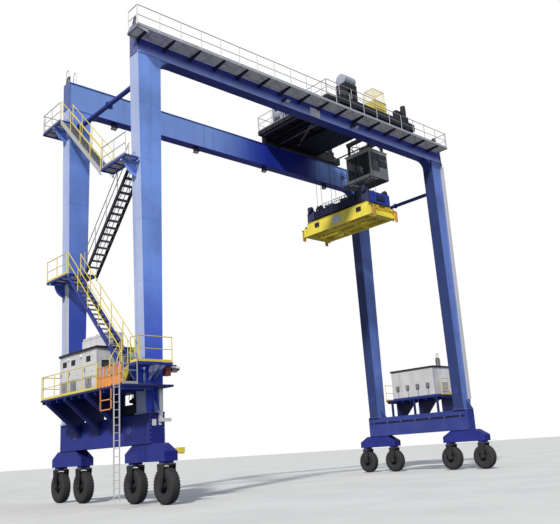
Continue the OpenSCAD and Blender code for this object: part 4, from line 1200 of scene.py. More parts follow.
@dataclass
class Access:
    """Walkway, landings, stairs, ladders and their rails.

    Attributes:
        walk_x: the two ends of the girder walkway.
        walk_out: its outer edge.
        walk_in: its inner edge.
        walk_z: its top.
        lane: the outer stair lane along X.
        inner: the inner stair lane along X.
        levels: heights of the four landings.
    """

    walk_x: Span = (-12.9, 12.02)
    walk_out: float = -4.8
    walk_in: float = -3.9
    walk_z: float = 21.65
    lane: Span = (-13.1, -12.4)
    inner: Span = (-12.35, -11.65)
    levels: tuple[float, float, float, float] = (5.74, 10.95, 15.3, 19.7)

    def build(self) -> None:
        """Builds every way up and along the crane."""
        self.walkway()
        self.landings()
        z1, z2, z3, z4 = self.levels
        self.flight("lower", self.lane, -3.6, z1, z2 - z1, 1, Finish.BLUE, Finish.YELLOW)
        self.flight("middle", self.inner, 1.35, z2, z3 - z2, -1, Finish.BLACK, Finish.ZINC)
        self.flight("upper", self.lane, -1.7, z3, z4 - z3, 1, Finish.BRIGHT, Finish.YELLOW)
        self.rails()
        self.ladders()

    def walkway(self) -> None:
        """Girder walkway: brackets with flanges, edge angles, and grating between them."""
        s, bracket, floor = shells(3)
        (x0, x1), y0, y1, web = self.walk_x, self.walk_out, self.walk_in, -3.85
        top, under = self.walk_z, self.walk_z - 0.04
        x = np.arange(-12.32, x1 - 0.02, 1.55)
        outline = [(web, under), (web, under - 0.22), (y0, under - 0.09), (y0, under)]
        for place in x:
            bracket.slab(outline, Axis.X, *about(place, 0.006))
        bracket.bars(points(x, web, under - 0.22), points(x, y0, under - 0.09), 0.07, 0.01)
        bracket.bars(points(x, web, under - 0.006), points(x, y0, under - 0.006), 0.07, 0.012)
        bracket.box(about(x, 0.07), (web - 0.012, web), (under - 0.26, under))
        s.box((x0, x1), (y0, y0 + 0.008), (under - 0.04, top))
        s.box((x0, x1), (y1 - 0.008, y1), (under - 0.03, top))
        s.box((x0, x1), (y0, y0 + 0.06), (under - 0.006, under))
        for x in (x0, x1 - 0.008):
            s.box((x, x + 0.008), (y0, y1), (under - 0.04, top))
        outline = [(-12.31, under), (x0, under), (x0, under - 0.09), (-12.31, under - 0.22)]
        for y in (y0, web - 0.012):
            s.slab(outline, Axis.Y, y, y + 0.012)
        joists = spread(x0, x1, 0.9)[1:-1]
        s.box(about(joists, 0.004), (y0 + 0.008, y1 - 0.008), (under - 0.02, top - 0.034))
        floor.grating((x0 + 0.01, y0 + 0.01, top - 0.032), (x1 - 0.01, y1 - 0.01, top), Axis.Y)
        s.piece("walkway_frame", Finish.ZINC, "portal", ("walkway",))
        bracket.piece("walkway_brackets", Finish.BLUE_DARK, "portal", ("walkway",))
        floor.piece("walkway_grating", Finish.GRATING)

    def plates(self) -> list[tuple[float, float, float, float, float]]:
        """Floor plates of the landings.

        Returns:
            The two ends along X, the two ends along Y and the height of each plate.
        """
        (l0, l1), i1, (z1, z2, z3, z4) = self.lane, self.inner[1], self.levels
        face, back = 3.17, 3.97
        flight_1, flight_2, flight_3 = -3.6, 1.35, -1.7
        return [
            (l0, l1, -4.9, flight_1, z1),
            (l1, -11.4, -4.9, -back - 0.06, z1),
            (l0, l1, flight_1 + z2 - z1, back, z2),
            (l1, i1, flight_2, face, z2),
            (l0, l1, -back, flight_3, z3),
            (l1, i1, -face, flight_2 - z3 + z2, z3),
            (l0, l1, flight_3 + z4 - z3, 4.9, z4),
            (l1, -11.135, back, 4.9, z4),
        ]

    def landings(self) -> None:
        """Landings: channel frames with joists, and grating between them."""
        s, floor = shells(2)
        for x0, x1, y0, y1, z in self.plates():
            s.frame_of((x0, y0, z - 0.12), (x1, y1, z), 0.008)
            for x in (x0, x1 - 0.05):
                s.box((x, x + 0.05), (y0, y1), (z - 0.12, z - 0.113))
            inner, joists = (x0 + 0.008, x1 - 0.008), spread(y0, y1, 0.6)[1:-1]
            s.box(inner, about(joists, 0.004), (z - 0.1, z - 0.034))
            floor.grating((inner[0], y0 + 0.008, z - 0.032), (inner[1], y1 - 0.008, z), Axis.X)
        s.piece("landing_frames", Finish.BLUE, "portal", ("landings",))
        floor.piece("landing_grating", Finish.GRATING)

    def flight(
        self,
        kind: str,
        lane: Span,
        foot: float,
        z0: float,
        rise: float,
        turn: int,
        finish: Finish,
        rail: Finish,
    ) -> None:
        """One flight at 45 degrees: channel stringers, grating treads with nosings, and rails.

        Args:
            kind: lower, middle or upper.
            lane: its two sides along X.
            foot: Y of its foot.
            z0: height of its foot.
            rise: its rise.
            turn: 1 where it climbs towards +Y, -1 towards -Y.
            finish: finish of its stringers.
            rail: finish of its handrails.
        """
        s, tubes, treads = shells(3)
        (x0, x1), top, head = lane, z0 + rise, foot + turn * rise
        going = rise / int(round(rise / 0.27))
        outline = [(foot, z0 - 0.3), (foot, z0), (head, top), (head, top - 0.3)]
        for x, inward in ((x0, 1), (x1, -1)):
            s.slab(outline, Axis.X, x, x + inward * 0.01)
            flange, tube = x + inward * 0.03, x + inward * 0.0225
            for dz in (-0.008, -0.292):
                s.bars([flange, foot, z0 + dz], [flange, head, top + dz], 0.06, 0.01)
            Handrails().slope(tubes, (tube, foot, z0), (tube, head, top))
        i = np.arange(1, int(round(rise / 0.27)))
        y, z = foot + turn * going * (i + 0.5), z0 + going * i
        span = (x0 + 0.012, x1 - 0.012)
        for off in np.linspace(-0.12, 0.12, 7):
            treads.box(span, about(y + off, 0.003), (z - 0.03, z))
        treads.box(span, about(y - turn * 0.122, 0.012), (z - 0.035, z + 0.002))
        for x in np.linspace(x0 + 0.05, x1 - 0.05, 7):
            treads.box(about(x, 0.003), about(y, 0.12), (z - 0.012, z - 0.002))
        for x in (x0 + 0.012, x1 - 0.018):
            treads.box((x, x + 0.006), about(y, 0.125), (z - 0.06, z))
        s.piece(f"{kind}_flight", finish, "portal", (f"stair_{kind}",))
        tubes.piece(f"{kind}_flight_handrails", rail, "portal", (f"stair_{kind}",))
        treads.piece(f"{kind}_flight_treads", Finish.GRATING)

    def rails(self) -> None:
        """Handrails of the walkway and the landings."""
        (x0, x1), l0, (z1, z2, z3, z4) = self.walk_x, self.lane[0] + 0.0225, self.levels
        y, end, z = self.walk_out + 0.045, self.walk_in - 0.02, self.walk_z
        runs = {
            ("walkway_handrails", "walkway_rails", Finish.ZINC): [
                ((x0, y, z), (x1, y, z)),
                ((x0 + 0.0225, y + 0.045, z), (x0 + 0.0225, end, z)),
                ((x1 - 0.0225, y + 0.045, z), (x1 - 0.0225, end, z)),
            ],
            ("landing_handrails", "landing_rails", Finish.YELLOW): [
                ((l0, -4.9, z1), (l0, -4.25, z1)),
                ((l0 + 0.045, -4.8775, z1), (-11.4, -4.8775, z1)),
                ((l0, z2 - z1 - 3.5, z2), (l0, 3.97, z2)),
            ],
            ("upper_landing_handrails", "landing_rails", Finish.ZINC): [
                ((l0, -3.97, z3), (l0, -1.8, z3)),
                ((l0, z4 - z3 - 1.6, z4), (l0, 4.9, z4)),
                ((l0 + 0.045, 4.8775, z4), (-11.135, 4.8775, z4)),
            ],
        }
        for (name, node, finish), lines in runs.items():
            s = Shell()
            for start, end in lines:
                Handrails().run(s, start, end)
            s.piece(name, finish, "portal", (node,))

    def ladders(self) -> None:
        """Ladders keep their solids; brackets, feet and grab rails are added."""
        dress(Finish.BRIGHT, "ladders")
        s = Shell()
        y, bend = 4.19, np.linspace(0, math.pi, 12)
        for x in about(-11.885, 0.22):
            for z in (20.2, 21.2, 22.2):
                s.bars([x, y - 0.02, z], [x, 3.87, z], 0.05, 0.01)
            path = points(x, y - 0.14 + 0.14 * np.cos(bend), 23.45 + 0.14 * np.sin(bend))
            s.pipe(path, 0.018, 8, (1, 0, 0))
            for foot, z in ((y - 0.28, 22.45), (y, 23.3)):
                s.rods([x, foot, z], [x, foot, 23.46], 0.018)
        s.piece("ladder_fittings", Finish.ZINC)


@dataclass
class Enclosure:
    """A sheet steel house: ribs, doors, louvres, trims and fittings on its solid.

    Attributes:
        name: start of its pieces' names.
        low: lowest corner.
        high: highest corner, under the roof.
        body: the body it rides on.
        door_side: the side that its doors are in, -1 or 1 along X.
        doors: Y of the middle of each door.
        finish: paint of the walls.
    """

    name: str
    low: Place
    high: Place
    body: str
    door_side: int
    doors: tuple[float, ...]
    finish: Finish = Finish.WHITE

    def build(self) -> None:
        """Adds every piece of the house."""
        self.skin()
        self.openings()

    def skin(self) -> None:
        """Wall ribs, corner angles, base channel and the dark roof edge."""
        (x0, y0, z0), (x1, y1, z1) = self.low, self.high
        s, trim, base = shells(3)
        wall, foot = (z0 + 0.1, z1 - 0.02), (z0, z0 + 0.1)
        for x, out in ((x0, -1), (x1, 1)):
            y = spread(y0 + 0.02, y1 - 0.02, 0.61)[1:-1]
            if out == self.door_side:
                y = y[np.abs(y[:, None] - self.doors).min(1) > 0.5]
            s.box((x, x + out * 0.014), about(y, 0.02), wall)
        for y, out in ((y0, -1), (y1, 1)):
            s.box(about(spread(x0 + 0.02, x1 - 0.02, 0.61)[1:-1], 0.02), (y, y + out * 0.014), wall)
        for (x, ox), (y, oy) in product(((x0, -0.01), (x1, 0.01)), ((y0, -0.01), (y1, 0.01))):
            s.box((x + ox, x - 5 * ox), (y + oy, y - 0.1 * oy), (z0, z1 - 0.02))
            s.box((x + ox, x - 0.1 * ox), (y + oy, y - 5 * oy), (z0, z1 - 0.02))
        w, rise = (0.066, 0.094) if self.body == "portal" else (0.03, 0.004)
        edge = (z1 - 0.01, z1 + rise)
        for y, y_edge in ((y0 - 0.02, y0 - w), (y1 - 0.002, y1 + w - 0.01)):
            base.box((x0 - 0.02, x1 + 0.02), (y, y + 0.022), foot)
            trim.box((x0 - w, x1 + w), (y_edge, y_edge + 0.01), edge)
        for x, x_edge in ((x0 - 0.02, x0 - w), (x1 - 0.002, x1 + w - 0.01)):
            base.box((x, x + 0.022), (y0, y1), foot)
            trim.box((x_edge, x_edge + 0.01), (y0 - w, y1 + w), edge)
        s.piece(self.name + "_ribs", self.finish, self.body)
        base.piece(self.name + "_base", Finish.BLUE, self.body)
        trim.piece(self.name + "_roof_edge", Finish.BLACK, self.body)

    def openings(self) -> None:
        """Doors with hinges, handles and louvres, louvres in the ends, and small fittings."""
        (x0, y0, z0), (x1, y1, z1) = self.low, self.high
        out = self.door_side
        face, back = (x0, x1) if out < 0 else (x1, x0)
        s, dark, bits = shells(3)
        a, b, w = z0 + 0.06, z0 + min(1.78, z1 - z0 - 0.1), 0.42
        front = face + out * 0.03
        for d in self.doors:
            s.box((face, face + out * 0.022), about(d, w), (a, b))
            s.box((face, front), (d - w - 0.03, d - w), (a, b + 0.03))
            s.box((face, front), (d + w, d + w + 0.03), (a, b + 0.03))
            s.box((face, front), about(d, w), (b, b + 0.03))
            z = spread(a + 0.12, a + 0.55, 0.05)
            s.bars(points(front, d - 0.27, z), points(front, d + 0.27, z), 0.03, 0.006, (out, 0, 0.9))
            # Black sheet behind the door louvres: painted shade inside the house.
            dark.box((face + out * 0.0225, face + out * 0.024), about(d, 0.29), (a + 0.08, a + 0.6))
            dark.box((face + out * 0.022, face + out * 0.026), about(d, 0.2), (b - 0.4, b - 0.14))
            hinge = about(np.array([a + 0.2, (a + b) / 2, b - 0.2]), 0.05)
            bits.rods(*(points(front, d - w - 0.005, z) for z in hinge), 0.013)
            lock, grip = (face + out * 0.022, face + out * 0.034), [face + out * 0.05, d + w - 0.075]
            bits.box(lock, (d + w - 0.1, d + w - 0.05), (z0 + 0.95, z0 + 1.13))
            bits.rods([*grip, z0 + 0.98], [*grip, z0 + 1.1], 0.01)
        middle, z = (x0 + x1) / 2 + 0.25, spread(z0 + 0.35, z0 + 0.85, 0.05)
        wide = about(middle, 0.33)
        for y, side in ((y0, -1), (y1, 1)):
            ends = (points(x, y + side * 0.012, z) for x in wide)
            s.bars(*ends, 0.03, 0.006, (0, side, 0.9))
            s.border(wide, (y, y + side * 0.03), (z0 + 0.34, z0 + 0.88), 0.04)
            # Black sheet behind the end louvres: painted shade inside the house.
            dark.box(wide, (y, y + side * 0.003), (z0 + 0.34, z0 + 0.88))
        for y in spread(y0 + 0.5, y1 - 0.5, 0.9):
            bits.box((back, back - out * 0.12), (y - 0.1, y + 0.12), (z0 + 0.6, z0 + 0.9))
            bits.rods([back - out * 0.06, y, z0 + 0.1], [back - out * 0.06, y, z0 + 0.6], 0.016)
        s.piece(self.name + "_doors", self.finish, self.body)
        dark.piece(self.name + "_dark_panels", Finish.BLACK, self.body)
        bits.piece(self.name + "_fittings", Finish.GREY, self.body, slot="galvanised_steel")


def fan(s: Shell, dark: Shell, centre: Place, r: float) -> None:
    """A cooling fan that looks up: turned bell mouth, dark well of painted shade, hub, blades and wire
    guard.

    Args:
        s: shell of the bell mouth and guard.
        dark: shell of the well and blades.
        centre: middle of its face.
        r: its radius.
    """
    mouth = [(0, r), (0.05, r + 0.01), (0.07, r - 0.01), (0.06, r - 0.03), (0.0, r - 0.04)]
    s.turned(mouth, centre, UP, 40, ring=True)
    # Black disc at the foot of the bell mouth: painted shade inside the fan.
    dark.turned([(0.0, r - 0.03), (0.012, r - 0.03)], centre, UP, 32)
    s.turned([(0.01, 0.09), (0.06, 0.085), (0.07, 0.05)], centre, UP, 20)
    for wire in np.arange(1, 7) * r / 7:
        s.turned([(0.066, wire - 0.003), (0.066, wire + 0.003), (0.072, wire)], centre, UP, 32, ring=True)
    out = around(UP, turns(8))
    guard, blade = centre + UP * 0.068, centre + UP * 0.03
    s.rods(guard + out * 0.05, guard + out * (r - 0.01), 0.003, 4)
    twist = UP * 0.8 + np.cross(UP, out) * 0.6
    dark.bars(blade + out * 0.07, blade + out * (r - 0.05), 0.02, r * 0.3, twist)


@dataclass
class Houses:
    """Electrical house, its roof cooler, the power pack, the deck rails and the gates.

    Attributes:
        low: lowest corner of the electrical house.
        high: highest corner under its roof.
        deck_z: top of the equipment decks.
        edge: outer edge of the decks.
    """

    low: Place = (-13.4, -2.0, 4.8)
    high: Place = (-11.5, 1.55, 6.7)
    deck_z: float = 4.8
    edge: float = 13.9

    def build(self) -> None:
        """Builds both houses and the decks' fittings."""
        dress(Finish.WHITE, "electrical_house", "power_pack", "roof_cooler")
        Enclosure("house", self.low, self.high, "portal", -1, (-1.25, 0.2, 1.05)).build()
        low, high = (11.5, -1.775, 4.8), (13.4, 1.775, 6.7)
        Enclosure("power_pack", low, high, "portal", 1, (-1.2, -0.1, 1.15)).build()
        self.window()
        self.cooler()
        self.exhaust()
        self.decks()
        self.deck_rails()
        self.gates()

    def window(self) -> None:
        """Small window and lamps in the end wall of the electrical house."""
        s, glass, lamps = shells(3)
        (wall, y, _), x, z = self.low, about(-13.01, 0.14), about(6.02, 0.12)
        s.border(x, (y - 0.035, y), z, 0.03)
        glass.box(x, (y - 0.02, y - 0.001), z)
        lamps.turned([(0, 0.09), (0.05, 0.09), (0.09, 0.06)], (-12.0, y, 6.35), (0, -1, 0), 24)
        for y in (-0.55, 0.65):
            lamps.turned([(0, 0.08), (0.05, 0.08), (0.085, 0.05)], (wall, y, 6.5), (-1, 0, 0), 24)
        s.piece("house_window_frame", Finish.BLACK)
        glass.piece("house_window_pane", Finish.GLASS)
        lamps.piece("house_lamps", Finish.LENS)

    def cooler(self) -> None:
        """Roof cooler: casing ribs, fans on top and a finned face."""
        (x0, y0, z0), (x1, y1, z1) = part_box("roof_cooler")
        s, dark = shells(2)
        for y in np.linspace(y0 + 0.45, y1 - 0.45, 3):
            fan(s, dark, ((x0 + x1) / 2, y, z1), 0.3)
        for x, out, pitch in ((x0, -1, 0.45), (x1, 1, 0.035)):
            fins, edge = spread(y0 + 0.08, y1 - 0.08, pitch), (x, x + out * 0.02)
            s.box((x, x + out * 0.016), about(fins, 0.003), (z0 + 0.12, z1 - 0.1))
            for z in ((z0, z0 + 0.12), (z1 - 0.1, z1 + 0.002)):
                s.box(edge, (y0, y1), z)
            for y in (y0, y1 - 0.08):
                s.box(edge, (y, y + 0.08), (z0, z1))
        dark.box((x1, x1 + 0.002), (y0 + 0.06, y1 - 0.06), (z0 + 0.12, z1 - 0.1))
        for y, out in ((y0, -1), (y1, 1)):
            s.box((x0 + 0.08, x1 - 0.08), (y, y + out * 0.015), (z0 + 0.12, z1 - 0.12))
            dark.box((x0 + 0.2, x1 - 0.2), (y + out * 0.015, y + out * 0.02), (z0 + 0.25, z1 - 0.25))
        s.piece("cooler_casing", Finish.WHITE)
        dark.piece("cooler_dark_panels", Finish.BLACK)

    def exhaust(self) -> None:
        """Engine exhaust: a lagged silencer with its rain cap."""
        s = Shell()
        x, y = 12.9, -1.275
        s.turned([(6.8, 0.1), (6.84, 0.16), (7.35, 0.16), (7.4, 0.09)], (x, y, 0), UP, 32)
        s.turned([(7.4, 0.13), (7.42, 0.13)], (x, y, 0), UP, 24)
        s.bars([x - 0.1, y, 7.715], [x + 0.11, y, 7.74], 0.2, 0.012)
        s.piece("exhaust_silencer", Finish.STEEL, slot="rope_steel")

    def decks(self) -> None:
        """Deck floors of grating on joists."""
        s, floor = shells(2)
        z = self.deck_z
        for x0, x1, y0, y1 in ((-13.85, -12.37, -4.85, 2.4), (11.46, 13.89, -2.3, 2.3)):
            for span in ((z - 0.2, z - 0.088), (z - 0.206, z - 0.2)):
                s.box((x0, x1), about(spread(y0, y1, 0.7), 0.03), span)
        floors = ((-13.86, -13.42, -4.9, 2.45), (-13.4, -12.33, -4.9, -2.05), (13.44, 13.9, -2.36, 2.36))
        for x0, x1, y0, y1 in floors:
            floor.grating((x0, y0, z - 0.001), (x1, y1, z + 0.012), Axis.X)
        s.piece("deck_joists", Finish.BLUE)
        floor.piece("deck_grating", Finish.GRATING)

    def deck_rails(self) -> None:
        """Yellow deck handrails and the three steps up to the first landing."""
        s, rails = Shell(), Handrails()
        e, z = self.edge - 0.0225, self.deck_z
        rails.run(s, (-e, -2.9, z), (-e, 2.5, z))
        rails.run(s, (-e + 0.045, 2.4775, z), (-11.415, 2.4775, z))
        rails.run(s, (e, -2.4, z), (e, 2.4, z))
        for y in (-2.3775, 2.3775):
            rails.run(s, (11.415, y, z), (e - 0.045, y, z))
        lane, foot, rise = -13.1, -13.66, 0.94 / 3
        outline = [(foot, z), (foot, z + rise), (lane, z + 0.94), (lane, z + 0.64), (lane - 0.2, z)]
        bend = [lane - 0.53, lane - 0.53, lane - 0.45, lane - 0.03, lane - 0.03]
        for y in (-4.15, -3.512):
            s.slab(outline, Axis.Y, y, y + 0.012)
            s.pipe(points(bend, y + 0.006, z + np.array([0.3, 1.1, 1.3, 1.95, 0.94])), 0.02, 8, (0, 1, 0))
        for i, x in ((1, foot), (2, foot + 0.56 / 3)):
            s.box((x + 0.005, x + 0.2), (-4.14, -3.51), (z + rise * i - 0.035, z + rise * i))
        s.piece("deck_handrails", Finish.YELLOW, "portal", ("deck_rails",))

    def gates(self) -> None:
        """Orange gates of square tube with filled lower halves, hinges and a hanging frame."""
        s, end = shells(2)
        z = self.deck_z
        tube, x = (-self.edge, -self.edge + 0.045), -self.edge + 0.0225
        for y0, y1 in ((-4.15, -2.96), (-4.905, -4.19)):
            for h in (0.0, 0.4, 0.805):
                s.box(tube, (y0, y1), (z + h, z + h + 0.045))
            y = np.linspace(y0, y1 - 0.045, 5)
            s.box(tube, (y, y + 0.045), (z, z + 0.85))
            s.box(about(x, 0.004), (y0, y1), (z + 0.03, z + 0.41))
            hinge = z + np.array([0.1, 0.65])
            s.rods(points(x, y0 + 0.02, hinge), points(x, y0 + 0.02, hinge + 0.1), 0.032)
        for y in (-4.11, -3.225):
            s.box(tube, (y, y + 0.045), (3.85, z - 0.09))
        for h in (3.85, 4.25):
            s.box(tube, (-4.11, -3.18), (h, h + 0.045))
        Handrails().run(end, (x + 0.045, -4.9275, z), (-13.14, -4.9275, z))
        end.piece("deck_end_rail", Finish.ZINC, "portal", ("gates",))
        s.piece("orange_gates", Finish.ORANGE, "portal", ("gates",))


@dataclass
class RunningGear:
    """The eight steered wheels: forks keep their solids, wheels become tyres on rims.

    Attributes:
        radius: outer radius of a tyre.
        half: half width of a tyre.
        column_x: place of the wheels along the span.
        column_y: place of the bogie centres.
        pitch: distance between the wheels of a bogie.
        lugs: tread lugs on each side of a tyre.
    """

    radius: float = 0.75
    half: float = 0.215
    column_x: float = 11.735
    column_y: float = 3.57
    pitch: float = 2.4
    lugs: int = 34

    def build(self) -> None:
        """Builds each wheel and dresses each fork, in the order of the nodes' numbers."""
        for number, (sx, sy, k) in enumerate(product(SIDES, repeat=3), 1):
            x, y = sx * self.column_x, sy * self.column_y + k * self.pitch / 2
            dress(Finish.BLACK, f"fork_{number}")
            self.wheel(number, x, y)
            self.fork(number, x, y)

    def wheel(self, n: int, x: float, y: float) -> None:
        """Tyre turned from its section with lugs carried round it, and a dished rim.

        Args:
            n: the wheel's number.
            x: X of its centre.
            y: Y of its centre.
        """
        s, rim = shells(2)
        r, w = self.radius, self.half
        wall = [
            (0.10, 0.345), (0.16, 0.335), (0.185, 0.35), (0.19, 0.40), (w - 0.004, 0.47), (w, 0.55),
            (w - 0.006, 0.62), (0.192, 0.675), (0.165, 0.706), (0.10, 0.722),
        ]
        dish = [
            (0.165, 0.335), (0.175, 0.345), (0.18, 0.32), (0.12, 0.305), (0.05, 0.285), (0.02, 0.27),
            (0.012, 0.2), (0.03, 0.15), (0.16, 0.135), (0.195, 0.12), (0.195, 0.0605),
        ]
        centre = (x, y, r)
        s.turned(mirrored(wall, [(0.0, 0.728)]) + [(0.0, 0.36)], centre, (1, 0, 0), 72, ring=True)
        rim.turned(mirrored(dish), centre, (1, 0, 0), 56, ring=True)
        for side in SIDES:
            first, inner = 0.25 + 0.25 * side, (x + side * 0.012, y, r)
            start = circle(inner, Axis.X, 0.735, self.lugs, first)
            lead = first + 0.075 * self.lugs / (2 * math.pi)
            end = circle((x + side * 0.185, y, r), Axis.X, 0.705, self.lugs, lead)
            s.bars(start, end, 0.05, 0.03, start - inner)
            bead = [(w, 0.50), (w, 0.51), (w - 0.004, 0.515), (w - 0.004, 0.495)]
            s.turned([(side * a, b) for a, b in bead], centre, (1, 0, 0), 48, ring=True)
            rim.bolts(circle(inner, Axis.X, 0.225, 10), (side, 0, 0), 0.019, 0.026)
            rim.bolts(circle((x + side * 0.194, y, r), Axis.X, 0.095, 8), (side, 0, 0), 0.012, 0.012)
        s.piece(f"tyre_{n}", Finish.TYRE, f"road_wheel_{n}", (f"wheel_{n}",))
        rim.piece(f"rim_{n}", Finish.BLACK, f"road_wheel_{n}")

    def fork(self, n: int, x: float, y: float) -> None:
        """Crown bolts, axle clamps and leg stiffeners of one fork.

        Args:
            n: the wheel's number.
            x: X of its centre.
            y: Y of its centre.
        """
        s = Shell()
        s.bolts(circle((x, y, 1.54), Axis.Z, 0.315, 12, 0.5), -UP, 0.018, 0.02)
        for side in SIDES:
            face = x + side * 0.31
            s.turned([(0, 0.1), (0.02, 0.1), (0.025, 0.09)], (face, y, 0.75), (side, 0, 0), 24)
            s.bolts(circle((face + side * 0.022, y, 0.75), Axis.X, 0.082, 6), (side, 0, 0), 0.011, 0.012)
            near = face + side * 0.012
            s.bars([near, y, 0.87], [near, y, 1.5], 0.024, 0.05, (0, 1, 0))
            near = face + side * 0.01
            for edge in SIDES:
                s.bars([near, y + edge * 0.1, 0.86], [near, y + edge * 0.2, 1.52], 0.02, 0.02, (0, 1, 0))
        s.piece(f"fork_fittings_{n}", Finish.BLACK, f"steering_{n}")


@dataclass
class Floodlights:
    """Floodlights under the girders, the corner lamp and the switch box.

    Attributes:
        far: places of the lamps under the far girder.
        near: places of the lamps on the near girder's web.
    """

    far: tuple[float, ...] = (-9.42, -3.59, 2.13, 8.03)
    near: tuple[float, ...] = (-2.85, 2.98)

    def build(self) -> None:
        """Builds every lamp: housing, fins, hood, lens and yoke."""
        s, lens, cap, box = shells(4)
        for x in self.far:
            self.lamp(s, lens, (x, 3.57, 20.575), 0.34)
            s.box(about(x, 0.08), (3.47, 3.67), (20.8, 20.82))
            for low in (x - 0.19, x + 0.17):
                s.box((low, low + 0.02), (3.54, 3.6), (20.56, 20.78))
            s.box(about(x, 0.19), (3.54, 3.6), (20.76, 20.8))
        for x in self.near:
            s.box((x, x + 0.06), (-4.27, -3.85), (21.12, 21.18))
            s.box((x - 0.05, x + 0.11), (-3.87, -3.85), (21.05, 21.25))
            self.lamp(s, lens, (x + 0.03, -4.255, 21.03), 0.30)
        s.box((-11.42, -11.02), (-4.62, -4.56), (5.62, 5.68))
        self.lamp(s, lens, (-11.14, -4.59, 5.5), 0.38)
        cap.slab([(-4.75, 5.52), (-4.43, 5.52), (-4.48, 5.62), (-4.70, 5.62)], Axis.X, -11.35, -10.93)
        box.box((-11.65, -11.38), (-4.71, -4.47), (5.2, 5.6))
        box.box((-11.66, -11.37), (-4.72, -4.46), (5.58, 5.62))
        box.box((-11.63, -11.40), (-4.725, -4.71), (5.24, 5.56))
        s.piece("floodlight_units", Finish.BLACK, "portal", ("floodlights",))
        lens.piece("floodlight_lenses", Finish.LENS)
        cap.piece("corner_lamp_hood", Finish.PALE)
        box.piece("switch_box", Finish.RED)

    def lamp(self, s: Shell, lens: Shell, centre: Place, size: float) -> None:
        """One lamp that looks down and out: a tapered housing with cooling fins and a lens.

        Args:
            s: shell of the housings.
            lens: shell of the lenses.
            centre: middle of its housing.
            size: its width.
        """
        w, d, tilt = size / 2, size * 0.38, -0.34
        c, n = math.cos(tilt), math.sin(tilt)
        turn = np.array([[1, 0, 0], [0, c, -n], [0, n, c]])
        share = np.array([[1.0, 1.0], [1.0, 1.0], [0.62, 0.6], [0.5, 0.45]])
        body = np.empty((4, 4, 3))
        body[:, :, :2] = (np.array(SQUARE) * 2 - 1) * share[:, None] * (w, d)
        body[:, :, 2] = np.array([-0.09, -0.03, 0.05, 0.07])[:, None]
        s.grid(body @ turn.T + centre, ends=True)
        for k in np.linspace(-0.7, 0.7, 7):
            fin = points(k * w, np.array([-d * 0.45, d * 0.45]), 0.08) @ turn.T + centre
            s.bars(fin[0], fin[1], 0.006, 0.04)
        glass = points(np.array([-w * 0.9, w * 0.9]), 0, -0.093) @ turn.T + centre
        lens.bars(glass[0], glass[1], d * 1.8, 0.008, turn @ UP)


@dataclass
class ServiceUnit:
    """Steering oil unit on the sill and deck by the near left column, and the bogie's lamp box.

    Attributes:
        x: X of its middle.
        y: Y of its middle.
        floor: top of the sill, on which its tank stands.
        deck: top of the deck, on which its valve stand stands.
    """

    x: float = -11.78
    y: float = -2.55
    floor: float = 3.70
    deck: float = 4.8

    def build(self) -> None:
        """Tank, pump, motor, valve stand, hoses and the lamp box."""
        s, bits, hose, box = shells(4)
        x, y, z = self.x, self.y, self.floor
        s.box(about(x, 0.3), (y - 0.5, y + 0.55), (z + 0.05, z + 0.45))
        for low in (y - 0.45, y + 0.4):
            s.box(about(x, 0.28), (low, low + 0.1), (z, z + 0.05))
        s.box(about(x, 0.32), (y - 0.52, y + 0.57), (z + 0.43, z + 0.46))
        motor = [(0, 0.1), (0.02, 0.15), (0.42, 0.15), (0.44, 0.12), (0.5, 0.12)]
        s.turned(motor, (x - 0.1, y - 0.4, z + 0.64), (0, 1, 0), 24)
        s.turned([(0, 0.08), (0.2, 0.08), (0.22, 0.05)], (x - 0.1, y + 0.12, z + 0.64), (0, 1, 0), 20)
        s.box((x - 0.2, x), (y - 0.3, y - 0.05), (z + 0.46, z + 0.52))
        s.turned([(0, 0.06), (0.12, 0.06), (0.13, 0.04)], (x + 0.18, y + 0.35, z + 0.46), UP, 16)
        z = self.deck
        s.box((x - 0.42, x - 0.1), (y - 0.3, y + 0.35), (z + 0.25, z + 0.62))
        for low, leg in product((x - 0.4, x - 0.16), (y - 0.28, y + 0.28)):
            s.box((low, low + 0.04), (leg, leg + 0.04), (z, z + 0.25))
        valve = y + np.array([-0.2, -0.05, 0.1, 0.25])
        s.box((x - 0.47, x - 0.42), about(valve, 0.045), (z + 0.32, z + 0.55))
        s.rods(points(x - 0.26, valve, z + 0.62), points(x - 0.26, valve, z + 0.78), 0.035, 12)
        bits.bolts(points(x - 0.47, valve, z + 0.5), (-1, 0, 0), 0.014, 0.012)
        t = np.linspace(0, 1, 16)
        for k, place in enumerate(valve):
            path = points(x - 0.3 + 0.12 * t, place + 0.12 * np.sin(4 * t + k), z + 0.25 - 0.62 * t)
            hose.pipe(path, 0.016, 8, (1, 0, 0))
            rise = z + 0.78 + 0.22 * np.sin(3.1 * t) - 0.16 * t
            hose.pipe(points(x - 0.26 - 0.1 * np.sin(3 * t), place + 0.25 * t, rise), 0.016, 8, (1, 0, 0))
        box.box((-11.4, -11.1), (-5.2, -4.95), (2.0, 2.22))
        box.box((-11.42, -11.12), (-5.15, -5.0), (1.97, 2.0))
        s.piece("steering_oil_unit", Finish.BLACK, smooth=30)
        bits.piece("steering_oil_bolts", Finish.BOLT)
        hose.piece("steering_oil_hoses", Finish.HOSE, smooth=60, slot="tyre_rubber")
        box.piece("bogie_lamp_box", Finish.YELLOW)


